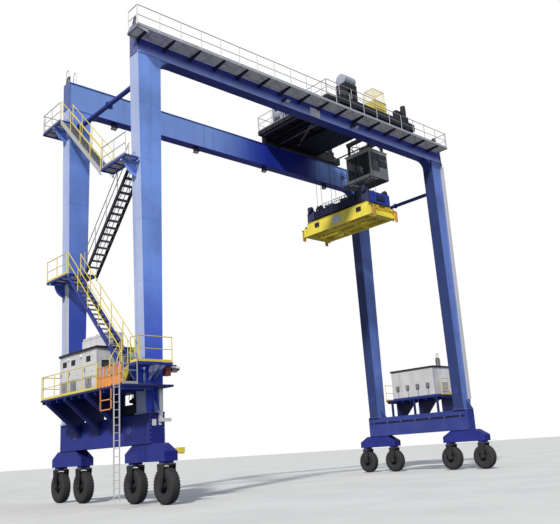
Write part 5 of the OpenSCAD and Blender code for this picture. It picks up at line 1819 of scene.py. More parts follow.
@dataclass
class Trolley:
    """Trolley: wheels, deck, handrails, hoist machinery, cover, cabinet, cage and cab.

    Attributes:
        top: height of the deck.
        back: X of the deck's -X end.
        front: X of the deck's +X end.
        side: half the deck's width, to the middle of the handrails.
        drum: X of the rope drum.
        drum_z: height of the rope drum.
        shafts: X of the wheels' shafts.
        shaft_z: height of the wheels' shafts.
        track: Y of the wheels, to either side.
        cab_x: the two ends of the cab along X.
        cab_y: its two sides along Y.
        cab_floor: its underside.
        cab_head: top of its windows.
        cab_roof: its top.
        hung_z: underside of the frame that the cab hangs from.
    """

    top: float = 23.21
    back: float = 1.6
    front: float = 7.5
    side: float = 3.315
    drum: float = 6.33
    drum_z: float = 23.99
    shafts: tuple[float, float] = (3.55, 9.0)
    shaft_z: float = 22.83
    track: float = 3.57
    cab_x: Span = (8.07, 9.97)
    cab_y: Span = (-1.0, 1.2)
    cab_floor: float = 19.99
    cab_head: float = 21.83
    cab_roof: float = 22.09
    hung_z: float = 22.92

    def build(self) -> None:
        """Adds every piece of the trolley."""
        dress(Finish.BLACK, "trolley_frame")
        dress(Finish.BLUE_DARK, "hoist_machinery")
        dress(Finish.CAB, "cab")
        for end, x in zip(("rear", "front"), self.shafts):
            self.wheels(end, x)
        self.deck()
        self.underside()
        self.drum_fittings()
        self.drive_fittings()
        self.travel_drives()
        self.covers()
        self.cage()
        self.ledge()
        self.cab_fittings()

    def wheels(self, end: str, x: float) -> None:
        """One shaft with two double flanged wheels.

        Args:
            end: rear or front.
            x: X of the shaft.
        """
        s, bits = shells(2)
        z = self.shaft_z
        half = [
            (0.067, 0.06), (0.067, 0.12), (0.03, 0.13), (0.03, 0.255), (0.066, 0.27), (0.066, 0.325),
            (0.046, 0.325), (0.0425, 0.2997),
        ]
        for y in (-self.track, self.track):
            s.turned(mirrored(half), (x, y, z), (0, 1, 0), 48, ring=True)
            for out in SIDES:
                bits.bolts(circle((x, y + out * 0.067, z), Axis.Y, 0.095, 8), (0, out, 0), 0.013, 0.012)
        s.turned([(-3.775, 0.05), (-3.77, 0.055), (3.77, 0.055), (3.775, 0.05)], (x, 0, z), (0, 1, 0), 24)
        s.piece("trolley_wheels_" + end, Finish.STEEL, end + "_wheels", ("wheelset_" + end,), 30)
        bits.piece("trolley_wheel_bolts_" + end, Finish.BOLT, end + "_wheels")

    def deck(self) -> None:
        """Gratings on the deck, plates and stiffeners on its edge, and the handrails."""
        grate, edge, rails = shells(3)
        z = self.top
        a, b, w, rail = self.back, self.front, self.side, Handrails()
        for y0, y1 in ((-2.1, -1.5), (2.35, 3.25)):
            grate.grating((a + 0.05, y0, z + 0.004), (b - 0.1, y1, z + 0.03), Axis.Y)
        grate.grating((a + 0.05, -3.25, z + 0.004), (3.7, -2.12, z + 0.03), Axis.X)
        grate.grating((3.3, -1.45, z + 0.004), (4.85, 0.2, z + 0.03), Axis.X)
        edge.box(about(np.arange(a + 0.6, b, 0.9), 0.04), (-3.4, -3.358), (z - 0.26, z - 0.02))
        for x in (a - 0.012, b):
            edge.box((x, x + 0.012), (-3.34, 3.34), (z - 0.27, z + 0.03))
        edge.box((a - 0.07, a - 0.012), about(spread(-3.1, 3.1, 0.62), 0.012), (z - 0.26, z - 0.03))
        for y in (-w, w):
            rail.run(rails, (a, y, z), (b, y, z))
        for x in (a + 0.0225, b - 0.0225):
            rail.run(rails, (x, -w + 0.045, z), (x, w - 0.045, z))
        grate.piece("trolley_gratings", Finish.GRATING, "trolley", smooth=20)
        edge.piece("trolley_deck_edge", Finish.BLACK, "trolley")
        rails.piece("trolley_handrails", Finish.ZINC, "trolley", ("trolley_rails",), 50)

    def underside(self) -> None:
        """Joists and braces below the deck, bearing caps on the carriages, and a work lamp."""
        s, band, caps, lens = shells(4)
        z = self.shaft_z
        for x in (1.7, 2.5, 3.1, 4.6):
            s.box(about(x, 0.05), (-2.9, 2.9), (22.76, 22.772))
            s.box(about(x, 0.005), (-2.9, 2.9), (22.772, 22.95))
        for y in (-2.2, -0.7, 0.7, 2.2):
            for x in ((1.75, 3.05), (3.35, 4.9)):
                s.box(x, about(y, 0.04), (22.85, 22.95))
        band.bars([[1.8, -2.8, z], [4.9, -2.8, z]], [[4.9, 2.8, z], [7.0, -2.2, z]], 0.16, 0.02)
        cap = [(0, 0.15), (0.02, 0.15), (0.03, 0.12), (0.034, 0.04)]
        for x, y in product(self.shafts, SIDES):
            caps.turned(cap, (x, y * 3.78, z), (0, y, 0), 28)
            caps.bolts(circle((x, y * 3.80, z), Axis.Y, 0.125, 6), (0, y, 0), 0.014, 0.014)
            caps.box(about(x, 0.2), about(y * 3.79, 0.01), (22.62, 22.72))
        lens.turned([(0, 0.08), (0.05, 0.11), (0.12, 0.12), (0.13, 0.10)], (4.2, -1.2, 22.76), -UP, 20)
        s.piece("trolley_joists", Finish.BLACK, "trolley")
        band.piece("trolley_brace", Finish.GREY, "trolley")
        caps.piece("trolley_bearings", Finish.BLACK, "trolley", smooth=40)
        lens.piece("trolley_work_lamp", Finish.LENS, "trolley")

    def drum_fittings(self) -> None:
        """Rope turns in both halves of the drum, disc bolts, stand ribs and bearing caps."""
        rope, s, bits = shells(3)
        x, z = self.drum, self.drum_z
        strand = ((0.0, 0.4515), (0.0055, 0.468), (0.01375, 0.4765), (0.022, 0.468))
        for low in (-1.12, 0.14):
            line = [(place + a, r) for place in np.arange(36) * 0.0275 + low for a, r in strand]
            rope.turned(line, (x, 0, z), (0, 1, 0), 56)
        for out in SIDES:
            bits.bolts(circle((x, out * 1.31, z), Axis.Y, 0.49, 16), (0, out, 0), 0.014, 0.016)
        for y in (-1.41, 1.29):
            rib = x + np.array([-0.36, -0.12, 0.12, 0.33])
            s.box((rib, rib + 0.03), (y - 0.03, y + 0.15), (23.24, 23.9))
            s.box(about(x, 0.55), (y - 0.05, y + 0.17), (23.21, 23.245))
            s.turned([(-0.06, 0.16), (-0.05, 0.19), (0.17, 0.19), (0.18, 0.16)], (x, y, z), (0, 1, 0), 36)
            bits.bolts(points(x + np.array([-0.5, 0.5]), y + 0.06, 23.245), UP, 0.022, 0.03)
        rope.piece("drum_rope_turns", Finish.ROPE, "trolley", smooth=60)
        s.piece("drum_stands_fittings", Finish.BLUE_DARK, "trolley")
        bits.piece("drum_bolts", Finish.BOLT, "trolley")

    def drive_fittings(self) -> None:
        """Gearbox flange, ribs and covers, motor fins and fan hood, and the yellow brake."""
        s, bits, yellow = shells(3)
        motor = (5.18, 23.69)
        s.box((5.40, 6.56), (1.38, 1.92), (23.80, 23.86))
        x = spread(5.5, 6.46, 0.16)
        for y in (1.395, 1.905):
            bits.bolts(points(x, y, 23.86), UP, 0.014, 0.016)
        s.box(about(x[1:-1], 0.012), (1.39, 1.91), (23.86, 24.3))
        s.box((5.6, 6.3), (1.5, 1.8), (24.46, 24.475))
        s.turned([(0, 0.05), (0.09, 0.05), (0.1, 0.03)], (6.1, 1.65, 24.475), UP, 16)
        for x, z in ((5.68, motor[1]), (self.drum, self.drum_z)):
            s.turned([(0, 0.2), (0.03, 0.2), (0.045, 0.16)], (x, 1.89, z), (0, 1, 0), 32)
        fins = circle((motor[0], 0.45, motor[1]), Axis.Y, 0.315, 28)
        out = fins - (motor[0], 0.45, motor[1])
        keep = out[:, 2] > -0.75 * 0.315
        s.bars(fins[keep], fins[keep] + (0, 0.75, 0), 0.012, 0.05, out[keep])
        hood = [(-0.16, 0.2), (-0.15, 0.3), (-0.12, 0.33), (0.1, 0.335), (0.11, 0.31)]
        s.turned(hood, (motor[0], 0.3, motor[1]), (0, 1, 0), 36)
        s.box(about(motor[0], 0.2), (0.6, 0.95), (23.98, 24.14))
        for y in (0.45, 1.2):
            s.turned([(-0.02, 0.335), (0.02, 0.335)], (motor[0], y, motor[1]), (0, 1, 0), 36)
        yellow.box((5.5, 5.86), (1.93, 2.0), (23.95, 24.12))
        for low in (5.46, 5.87):
            yellow.box((low, low + 0.03), (1.9, 2.03), (23.3, 24.05))
        yellow.turned([(0, 0.07), (0.3, 0.07)], (5.68, 1.965, 24.12), UP, 20)
        s.piece("hoist_drive_fittings", Finish.GREY, "trolley", smooth=30)
        bits.piece("hoist_drive_bolts", Finish.BOLT, "trolley")
        yellow.piece("hoist_brake", Finish.YELLOW, "trolley")

    def travel_drives(self) -> None:
        """Upright gear motors over the front wheels, with their switch boxes and cables."""
        s, hose = shells(2)
        x, z = self.shafts[1], self.top
        motor = [
            (0, 0.16), (0.04, 0.19), (0.08, 0.165), (0.62, 0.165), (0.64, 0.18), (0.8, 0.18),
            (0.84, 0.12),
        ]
        t = np.linspace(0, 1, 12)
        for y in (-self.track, self.track):
            s.box(about(x, 0.38), about(y, 0.19), (z, z + 0.05))
            s.box(about(x, 0.28), about(y, 0.17), (z + 0.05, z + 0.42))
            s.turned(motor, (x, y, z + 0.42), UP, 28)
            foot = circle((x, y, z + 0.55), Axis.Z, 0.17, 20)
            s.bars(foot, foot + UP * 0.45, 0.01, 0.03, foot - (x, y, z + 0.55))
            s.box((x - 0.32, x - 0.16), about(y, 0.08), (z + 0.6, z + 0.82))
            s.box((8.0, 8.45), about(y, 0.16), (z, z + 0.62))
            s.box((7.98, 8.47), about(y, 0.18), (z + 0.6, z + 0.63))
            rise = z + 0.3 + 0.4 * t + 0.15 * np.sin(3.1 * t)
            hose.pipe(points(8.4 + 0.3 * t, y + 0.05 * np.sin(5 * t), rise), 0.016, 8, (0, 1, 0))
        s.piece("travel_drives", Finish.BLACK, "trolley", smooth=30)
        hose.piece("travel_drive_cables", Finish.HOSE, "trolley", smooth=60)

    def covers(self) -> None:
        """Barrel cover on its dark casing, and the control cabinet with its doors."""
        barrel, casing, box = shells(3)
        line = [(0, 0.30), (0.012, 0.40), (0.03, 0.42)]
        for a in np.arange(0.18, 1.0, 0.18):
            line += [(a, 0.42), (a + 0.01, 0.411), (a + 0.03, 0.411), (a + 0.04, 0.42)]
        line += [(1.07, 0.42), (1.088, 0.40), (1.1, 0.30)]
        barrel.turned(line, (3.8, -2.6, 25.25), (1, 0, 0), 48)
        barrel.box(about(np.array([3.98, 4.34, 4.70]), 0.02), (-3.03, -3.018), (24.9, 25.25))
        casing.box((3.8, 4.9), (-3.02, -2.18), (self.top, 24.96))
        slats = spread(23.6, 24.5, 0.09)
        for y, out in ((-3.02, -1), (-2.18, 1)):
            near = y + out * 0.015
            casing.bars(points(4.0, near, slats), points(4.7, near, slats), 0.03, 0.012, (0, out, 1.2))
            for low in (3.95, 4.72):
                casing.box((low, low + 0.03), about(y, 0.012), (23.5, 24.6))
        for x, out in ((3.8, -1), (4.9, 1)):
            casing.box(about(x, 0.012), (-2.95, -2.25), (23.4, 24.5))
            casing.turned([(0, 0.14), (0.12, 0.14), (0.14, 0.11)], (x, -2.6, 24.1), (out, 0, 0), 24)
            bend = ((0.14, -2.6, 24.1), (0.22, -2.6, 23.9), (0.24, -2.5, 23.5), (0.2, -2.4, 23.24))
            casing.pipe([(x + out * reach, y, z) for reach, y, z in bend], 0.03, 10)
        casing.turned([(0, 0.2), (0.5, 0.2), (0.52, 0.17)], (5.0, -2.6, 23.5), (1, 0, 0), 28)
        casing.box((4.95, 5.55), (-2.8, -2.4), (self.top, 23.34))
        low, high = (2.05, 0.45, self.top), (3.15, 2.25, 24.81)
        box.boxes(low, high)
        barrel.piece("hoist_cover_barrel", Finish.HOUSE, "trolley", ("hoist_housing",), 25)
        casing.piece("hoist_cover_casing", Finish.BLACK, "trolley", ("hoist_housing",), 30)
        box.piece("control_cabinet_walls", Finish.HOUSE, "trolley", ("hoist_housing",))
        Enclosure("control_cabinet", low, high, "trolley", -1, (0.95, 1.8), Finish.HOUSE).build()

    def cage(self) -> None:
        """Yellow cage over the way down to the cab: tube posts, rails, kick plates and mesh."""
        s, mesh = shells(2)
        x, y, z0, z1 = np.array([6.2725, 7.4225]), np.array([-3.2625, -2.5175]), self.top, 25.1325
        px, py = (a.ravel() for a in np.meshgrid(x, y))
        s.rods(points(px, py, z0), points(px, py, z1), 0.0225, 10)
        s.box(about(px, 0.06), (py - 0.022, py + 0.06), (z0, z0 + 0.012))
        for z in (z0 + 0.55, z0 + 1.0775, z1):
            s.rods(points(x[0], y, z), points(x[1], y, z), 0.0225, 10)
            s.rods(points(x, y[0], z), points(x, y[1], z), 0.0225, 10)
        s.box(x, about(y[0], 0.004), (z0 + 0.02, z0 + 1.02))
        s.box(about(x[0], 0.004), y, (z0 + 0.02, z0 + 1.02))
        s.box(x, about(y[1], 0.004), (z0 + 0.02, z0 + 0.62))
        a, b = spread(x[0] + 0.07, x[1] - 0.07, 0.075), spread(y[0] + 0.06, y[1] - 0.06, 0.075)
        mesh.rods(points(a, y[0], z0 + 1.09), points(a, y[0], z1), 0.005, 5)
        mesh.rods(points(a, y[0], z1), points(a, y[1], z1), 0.005, 5)
        mesh.rods(points(x[0], b, z0 + 1.09), points(x[0], b, z1), 0.005, 5)
        for z in spread(z0 + 1.2, z1 - 0.1, 0.15):
            mesh.rods([x[0], y[0], z], [x[1], y[0], z], 0.005, 5)
            mesh.rods([x[0], y[0], z], [x[0], y[1], z], 0.005, 5)
        s.piece("cab_stair_cage", Finish.YELLOW, "trolley", ("cab_access",), 50)
        mesh.piece("cab_stair_mesh", Finish.YELLOW, "trolley")

    def ledge(self) -> None:
        """Ledge beside the cab with its handrails, brackets and the ladder down from the deck."""
        s, grate = shells(2)
        (x0, x1), wall, floor = self.cab_x, self.cab_y[1], self.cab_floor
        rail, z, outer = Handrails(), floor + 0.06, wall + 0.6775
        grate.grating((x0 + 0.04, wall + 0.06, z - 0.03), (x1 - 0.04, wall + 0.66, z), Axis.Y)
        s.frame_of((x0, wall, floor), (x1, wall + 0.7, z), 0.04)
        s.box(about(np.array([8.5, 9.0, 9.5]), 0.02), (wall + 0.04, wall + 0.66), (floor, floor + 0.025))
        rail.run(s, (x0, outer, z), (x1, outer, z))
        rail.run(s, (x0 + 0.0225, wall + 0.06, z), (x0 + 0.0225, outer - 0.0225, z), toe=False)
        ladder, y = (x1 - 0.54, x1 - 0.1), wall + 0.56
        s.box(about(np.array(ladder), 0.02), about(y, 0.02), (z, 22.95))
        rungs = np.arange(20.29, 22.86, 0.3)
        s.rods(*(points(x, y, rungs) for x in ladder), 0.013, 8)
        arms = np.array([21.2, 22.4])
        s.box((ladder[0], ladder[0] + 0.03), (wall, y - 0.02), (arms, arms + 0.03))
        t = np.linspace(-1.35, 1.35, 12)
        hoop = sum(ladder) / 2 + 0.33 * np.sin(t), y - 0.08 + 0.45 * np.cos(t)
        for rise in (21.9, 22.35, 22.8):
            s.pipe(points(*hoop, rise), 0.012, 6, UP)
        grate.piece("cab_ledge_grating", Finish.GRATING, "trolley", smooth=20)
        s.piece("cab_ledge_ladder", Finish.ZINC, "trolley", ("cab_access",), 50)

    def cab_fittings(self) -> None:
        """Glass, dark gaskets, mullions, wipers, roof unit, lamps, belly frame and hanger braces."""
        glass, dark, pale, lamps = shells(4)
        (x0, x1), (y0, y1), floor, head = self.cab_x, self.cab_y, self.cab_floor, self.cab_head
        for y in ((-0.89, 0.065), (0.135, 1.09)):
            z, wiper = (floor + 0.26, head), x0 - 0.015
            glass.box((x0 + 0.02, x0 + 0.026), y, z)
            dark.border(about(x0, 0.004), y, z, 0.03, corners=False)
            dark.bars([wiper, sum(y) / 2, 20.3], [wiper, y[0] + 0.12, 20.95], 0.014, 0.01, (-1, 0, 0))
        for x, z, bar in (((8.18, 8.985), (20.49, head), 21.15), ((9.055, 9.86), (20.89, head), 21.4)):
            for y, out in ((y0, -1), (y1, 1)):
                glass.box(x, (y - out * 0.03, y - out * 0.024), z)
                dark.border(x, about(y, 0.004), z, 0.03, corners=False)
            pale.box(x, (y0 - 0.008, y0 + 0.002), (bar, bar + 0.025))
        y, z = (-0.3, 0.5), (floor + 1.0, head)
        glass.box((x1 - 0.03, x1 - 0.024), y, z)
        dark.border(about(x1, 0.004), y, z, 0.03, corners=False)
        glass.box((8.29, 8.97), (-0.7, 0.9), (floor + 0.03, floor + 0.036))
        dark.frame_of((8.25, -0.74, floor - 0.008), (9.01, 0.94, floor + 0.002), 0.04)
        dark.frame_of((x0 + 0.005, y0 + 0.005, floor - 0.03), (x1 - 0.005, y1 - 0.005, floor), 0.07)
        dark.box((9.02, 9.9), (-0.93, 1.13), (floor - 0.02, floor))
        roof, top = self.cab_roof, self.hung_z
        pale.box((8.75, 9.45), (-0.35, 0.55), (roof, roof + 0.33))
        pale.box((8.73, 9.47), (-0.37, 0.57), (roof + 0.31, roof + 0.335))
        slats, foot = spread(roof + 0.05, roof + 0.27, 0.045), roof + 0.03
        dark.bars(points(8.74, -0.25, slats), points(8.74, 0.45, slats), 0.02, 0.008, (-1, 0, 1.2))
        for y in (-0.95, 1.0):
            for start, end in ((8.32, 9.7), (9.7, 8.32)):
                dark.bars([start, y, foot], [end, y, top], 0.05, 0.05, (0, 1, 0))
        for x in (8.3, 9.7):
            dark.bars([x, -0.85, foot], [x, 0.95, top], 0.05, 0.05, (1, 0, 0))
        for x, y in product((8.31, 9.69), (-0.82, 1.03)):
            dark.box(about(x, 0.13), about(y, 0.13), (roof, roof + 0.018))
        lamp = [(0, 0.05), (0.05, 0.075), (0.09, 0.08), (0.094, 0.07)]
        for y in (-0.75, 1.0):
            lamps.turned(lamp, (8.16, y, floor - 0.04), (-0.5, 0, -0.86), 18)
            dark.box((8.12, 8.2), about(y, 0.05), (floor - 0.06, floor))
        dark.box((8.35, 8.37), (-0.5, 0.2), (floor + 0.07, 20.5))
        dark.box((8.3, 8.32), (0.25, 0.7), (floor + 0.07, 20.45))
        glass.piece("cab_windows", Finish.GLASS, "trolley")
        dark.piece("cab_frames_braces", Finish.BLACK, "trolley")
        pale.piece("cab_mullions_roof_unit", Finish.PALE, "trolley")
        lamps.piece("cab_lamps", Finish.LENS, "trolley")


@dataclass
class Hoist:
    """Ropes, and the headblock with its sheaves, guards, blue ends, cable basket and pipes.

    Attributes:
        x: X of the hoist's middle.
        reach: from the middle to a pair of sheaves along X.
        side: Y of the sheaves.
        sheave_z: height of the sheaves' shafts, where the ropes end.
        hung_z: height at which the ropes leave the trolley.
        foot: underside of the headblock.
        top: top of its end blocks.
    """

    x: float = 6.33
    reach: float = 0.75
    side: float = 1.8
    sheave_z: float = 17.68
    hung_z: float = 22.9495
    foot: float = 16.98
    top: float = 17.75

    def build(self) -> None:
        """Adds the ropes and the headblock's pieces."""
        dress(Finish.HEAD, "headblock")
        self.ropes()
        self.sheaves()
        self.ends()
        self.cables()

    def ropes(self) -> None:
        """Eight rope falls that stretch between the trolley and the headblock."""
        s, low = Shell(), self.sheave_z + 0.0005
        for sx, sy, k in product(SIDES, repeat=3):
            x, y = self.x + sx * self.reach + k * 0.2333, sy * self.side
            s.pipe([(x, y, low), (x, y, self.hung_z)], 0.013, 10, (1, 0, 0))
        made = s.piece("rope_falls", Finish.ROPE, "", ("hoist_ropes",), 60)
        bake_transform(made)

    def sheaves(self) -> None:
        """Grooved sheaves, side plates that stand above them, shafts, nuts and rope guards."""
        wheel, plate, bits = shells(3)
        z = self.sheave_z
        half = [
            (0.10, 0.05), (0.10, 0.09), (0.035, 0.1), (0.03, 0.18), (0.055, 0.2), (0.06, 0.235),
            (0.045, 0.235), (0.014, 0.216),
        ]
        cheek = [
            (-0.31, 17.4), (0.31, 17.4), (0.31, 17.8), (0.2, 18.0), (0.13, 18.12), (-0.13, 18.12),
            (-0.2, 18.0), (-0.31, 17.8),
        ]
        for sx, sy in product(SIDES, repeat=2):
            x, y = self.x + sx * self.reach, sy * self.side
            wheel.turned(mirrored(half, [(0.0, 0.212)]), (x, y, z), (0, 1, 0), 40, ring=True)
            for out in SIDES:
                inner, outer, nut = (y + out * a for a in (0.125, 0.143, 0.163))
                plate.slab([(x + a, b) for a, b in cheek], Axis.Y, inner, outer)
                plate.turned([(0, 0.12), (0.02, 0.12), (0.03, 0.09)], (x, outer, z), (0, out, 0), 24)
                bits.bolts(circle((x, nut, z), Axis.Y, 0.1, 6), (0, out, 0), 0.013, 0.012)
                for k in (-0.27, 0.27):
                    bits.bolts([x + k, outer, 17.5], (0, out, 0), 0.018, 0.016)
            for k, rise in ((-0.17, 18.02), (0.17, 18.02), (0.0, 18.09)):
                plate.rods([x + k, y - 0.125, rise], [x + k, y + 0.125, rise], 0.016, 8)
            plate.rods([x, y - 0.13, z], [x, y + 0.13, z], 0.055, 16)
        wheel.piece("headblock_sheaves", Finish.STEEL, "lifting_frame", smooth=30)
        plate.piece("sheave_side_plates", Finish.BLUE_DARK, "lifting_frame")
        bits.piece("headblock_bolts", Finish.BOLT, "lifting_frame")

    def ends(self) -> None:
        """Blue plates, ribs and motors on the end blocks, ribs and a rail on the crossbeams."""
        s, dark = shells(2)
        z, upright = self.top, (self.foot, self.top - 0.02)
        s.box(about(self.x, 0.97), (-2.87, -2.85), upright)
        motor = [(0, 0.17), (0.02, 0.19), (0.2, 0.19), (0.22, 0.15), (0.3, 0.15), (0.32, 0.12)]
        ribs = about(self.x + np.array([-0.94, -0.45, 0.45, 0.94]), 0.012)
        for out, rib in ((-1, s), (1, dark)):
            y, face = out * 2.5, out * 2.885
            rib.box(ribs, (face - 0.035, face + 0.015), (self.foot + 0.02, z - 0.05))
            dark.box(ribs, about(y, 0.32), (z, z + 0.11))
            for x in about(self.x, 1.01):
                dark.box(about(x, 0.01), about(y, 0.33), upright)
                dark.turned(motor, (x, out * 2.62, z + 0.23), (0, -out, 0), 24)
                dark.box(about(x, 0.17), about(y, 0.12), (z, z + 0.11))
            dark.box(about(self.x, 0.43), about(out * 2.905, 0.035), (17.2, 17.5))
            for x in about(self.x, 0.71):
                dark.turned([(0, 0.12), (0.14, 0.12), (0.16, 0.08)], (x, y, z), UP, 20)
                dark.box(about(x, 0.2), about(y, 0.05), (z, z + 0.04))
        for x in about(self.x, 0.85):
            for side in about(x, 0.135):
                dark.box(about(side, 0.008), about(spread(-2.0, 2.0, 0.5), 0.02), (17.25, 17.66))
            dark.box(about(x, 0.17), (-2.15, 2.15), (17.68, 17.70))
            rail, posts = x - 0.15, spread(-1.35, 1.35, 0.3)
            dark.rods(points(rail, posts, 17.7), points(rail, posts, 18.05), 0.018, 8)
            for rise in (18.05, 17.88):
                dark.rods([rail, -1.37, rise], [rail, 1.37, rise], 0.018, 8)
        s.piece("headblock_end_plates", Finish.BLUE, "lifting_frame")
        dark.piece("headblock_ribs", Finish.BLUE_DARK, "lifting_frame")

    def cables(self) -> None:
        """Cable basket of hoops and bars, junction boxes, and pipes across the headblock."""
        s, hose, box = shells(3)
        x, block, z0 = self.x, self.x - 0.58, self.sheave_z
        a = np.linspace(0, 2 * math.pi, 29)
        for r, z in ((0.44, 17.64), (0.44, 17.88), (0.44, 18.12), (0.47, 18.30)):
            s.pipe(points(x + r * np.cos(a), r * np.sin(a), z), 0.012, 6, UP)
        s.rods(circle((x, 0, 17.62), Axis.Z, 0.44, 14), circle((x, 0, 18.3), Axis.Z, 0.47, 14), 0.008, 6)
        a = np.linspace(0, 2 * math.pi, 25)
        for k in range(3):
            r = 0.34 - 0.03 * k
            hose.pipe(points(x + r * np.cos(a), r * np.sin(a), 18.16 + 0.03 * k), 0.018, 8, UP)
        for y0, y1 in ((-1.5, -0.75), (0.75, 1.5)):
            box.box((block, block + 0.55), (y0, y1), (z0, z0 + 0.34))
            box.box((block - 0.02, block + 0.57), (y0 - 0.02, y1 + 0.02), (z0 + 0.32, z0 + 0.35))
            box.box((block - 0.015, block), (y0 + 0.05, y1 - 0.05), (z0 + 0.04, z0 + 0.29))
        t = np.linspace(0, 1, 14)
        for k, out in product(range(4), SIDES):
            sway = x + 0.25 + 0.08 * k + 0.05 * np.sin(5 * t)
            rise = 17.74 + 0.015 * k + 0.1 * np.sin(t * math.pi)
            hose.pipe(points(sway, out * (0.5 + 1.85 * t), rise), 0.014, 8, (1, 0, 0))
            sag = 17.1 + 0.05 * k - 0.12 * np.sin(t * 9.4) ** 2
            hose.pipe(points(x - 1.01 - 0.02 * k, out * (1.0 + 1.4 * t), sag), 0.014, 8, (1, 0, 0))
        s.piece("cable_basket_hoops", Finish.BLACK, "lifting_frame", smooth=60)
        hose.piece("headblock_hoses", Finish.HOSE, "lifting_frame", smooth=60)
        box.piece("headblock_boxes", Finish.BLACK, "lifting_frame")


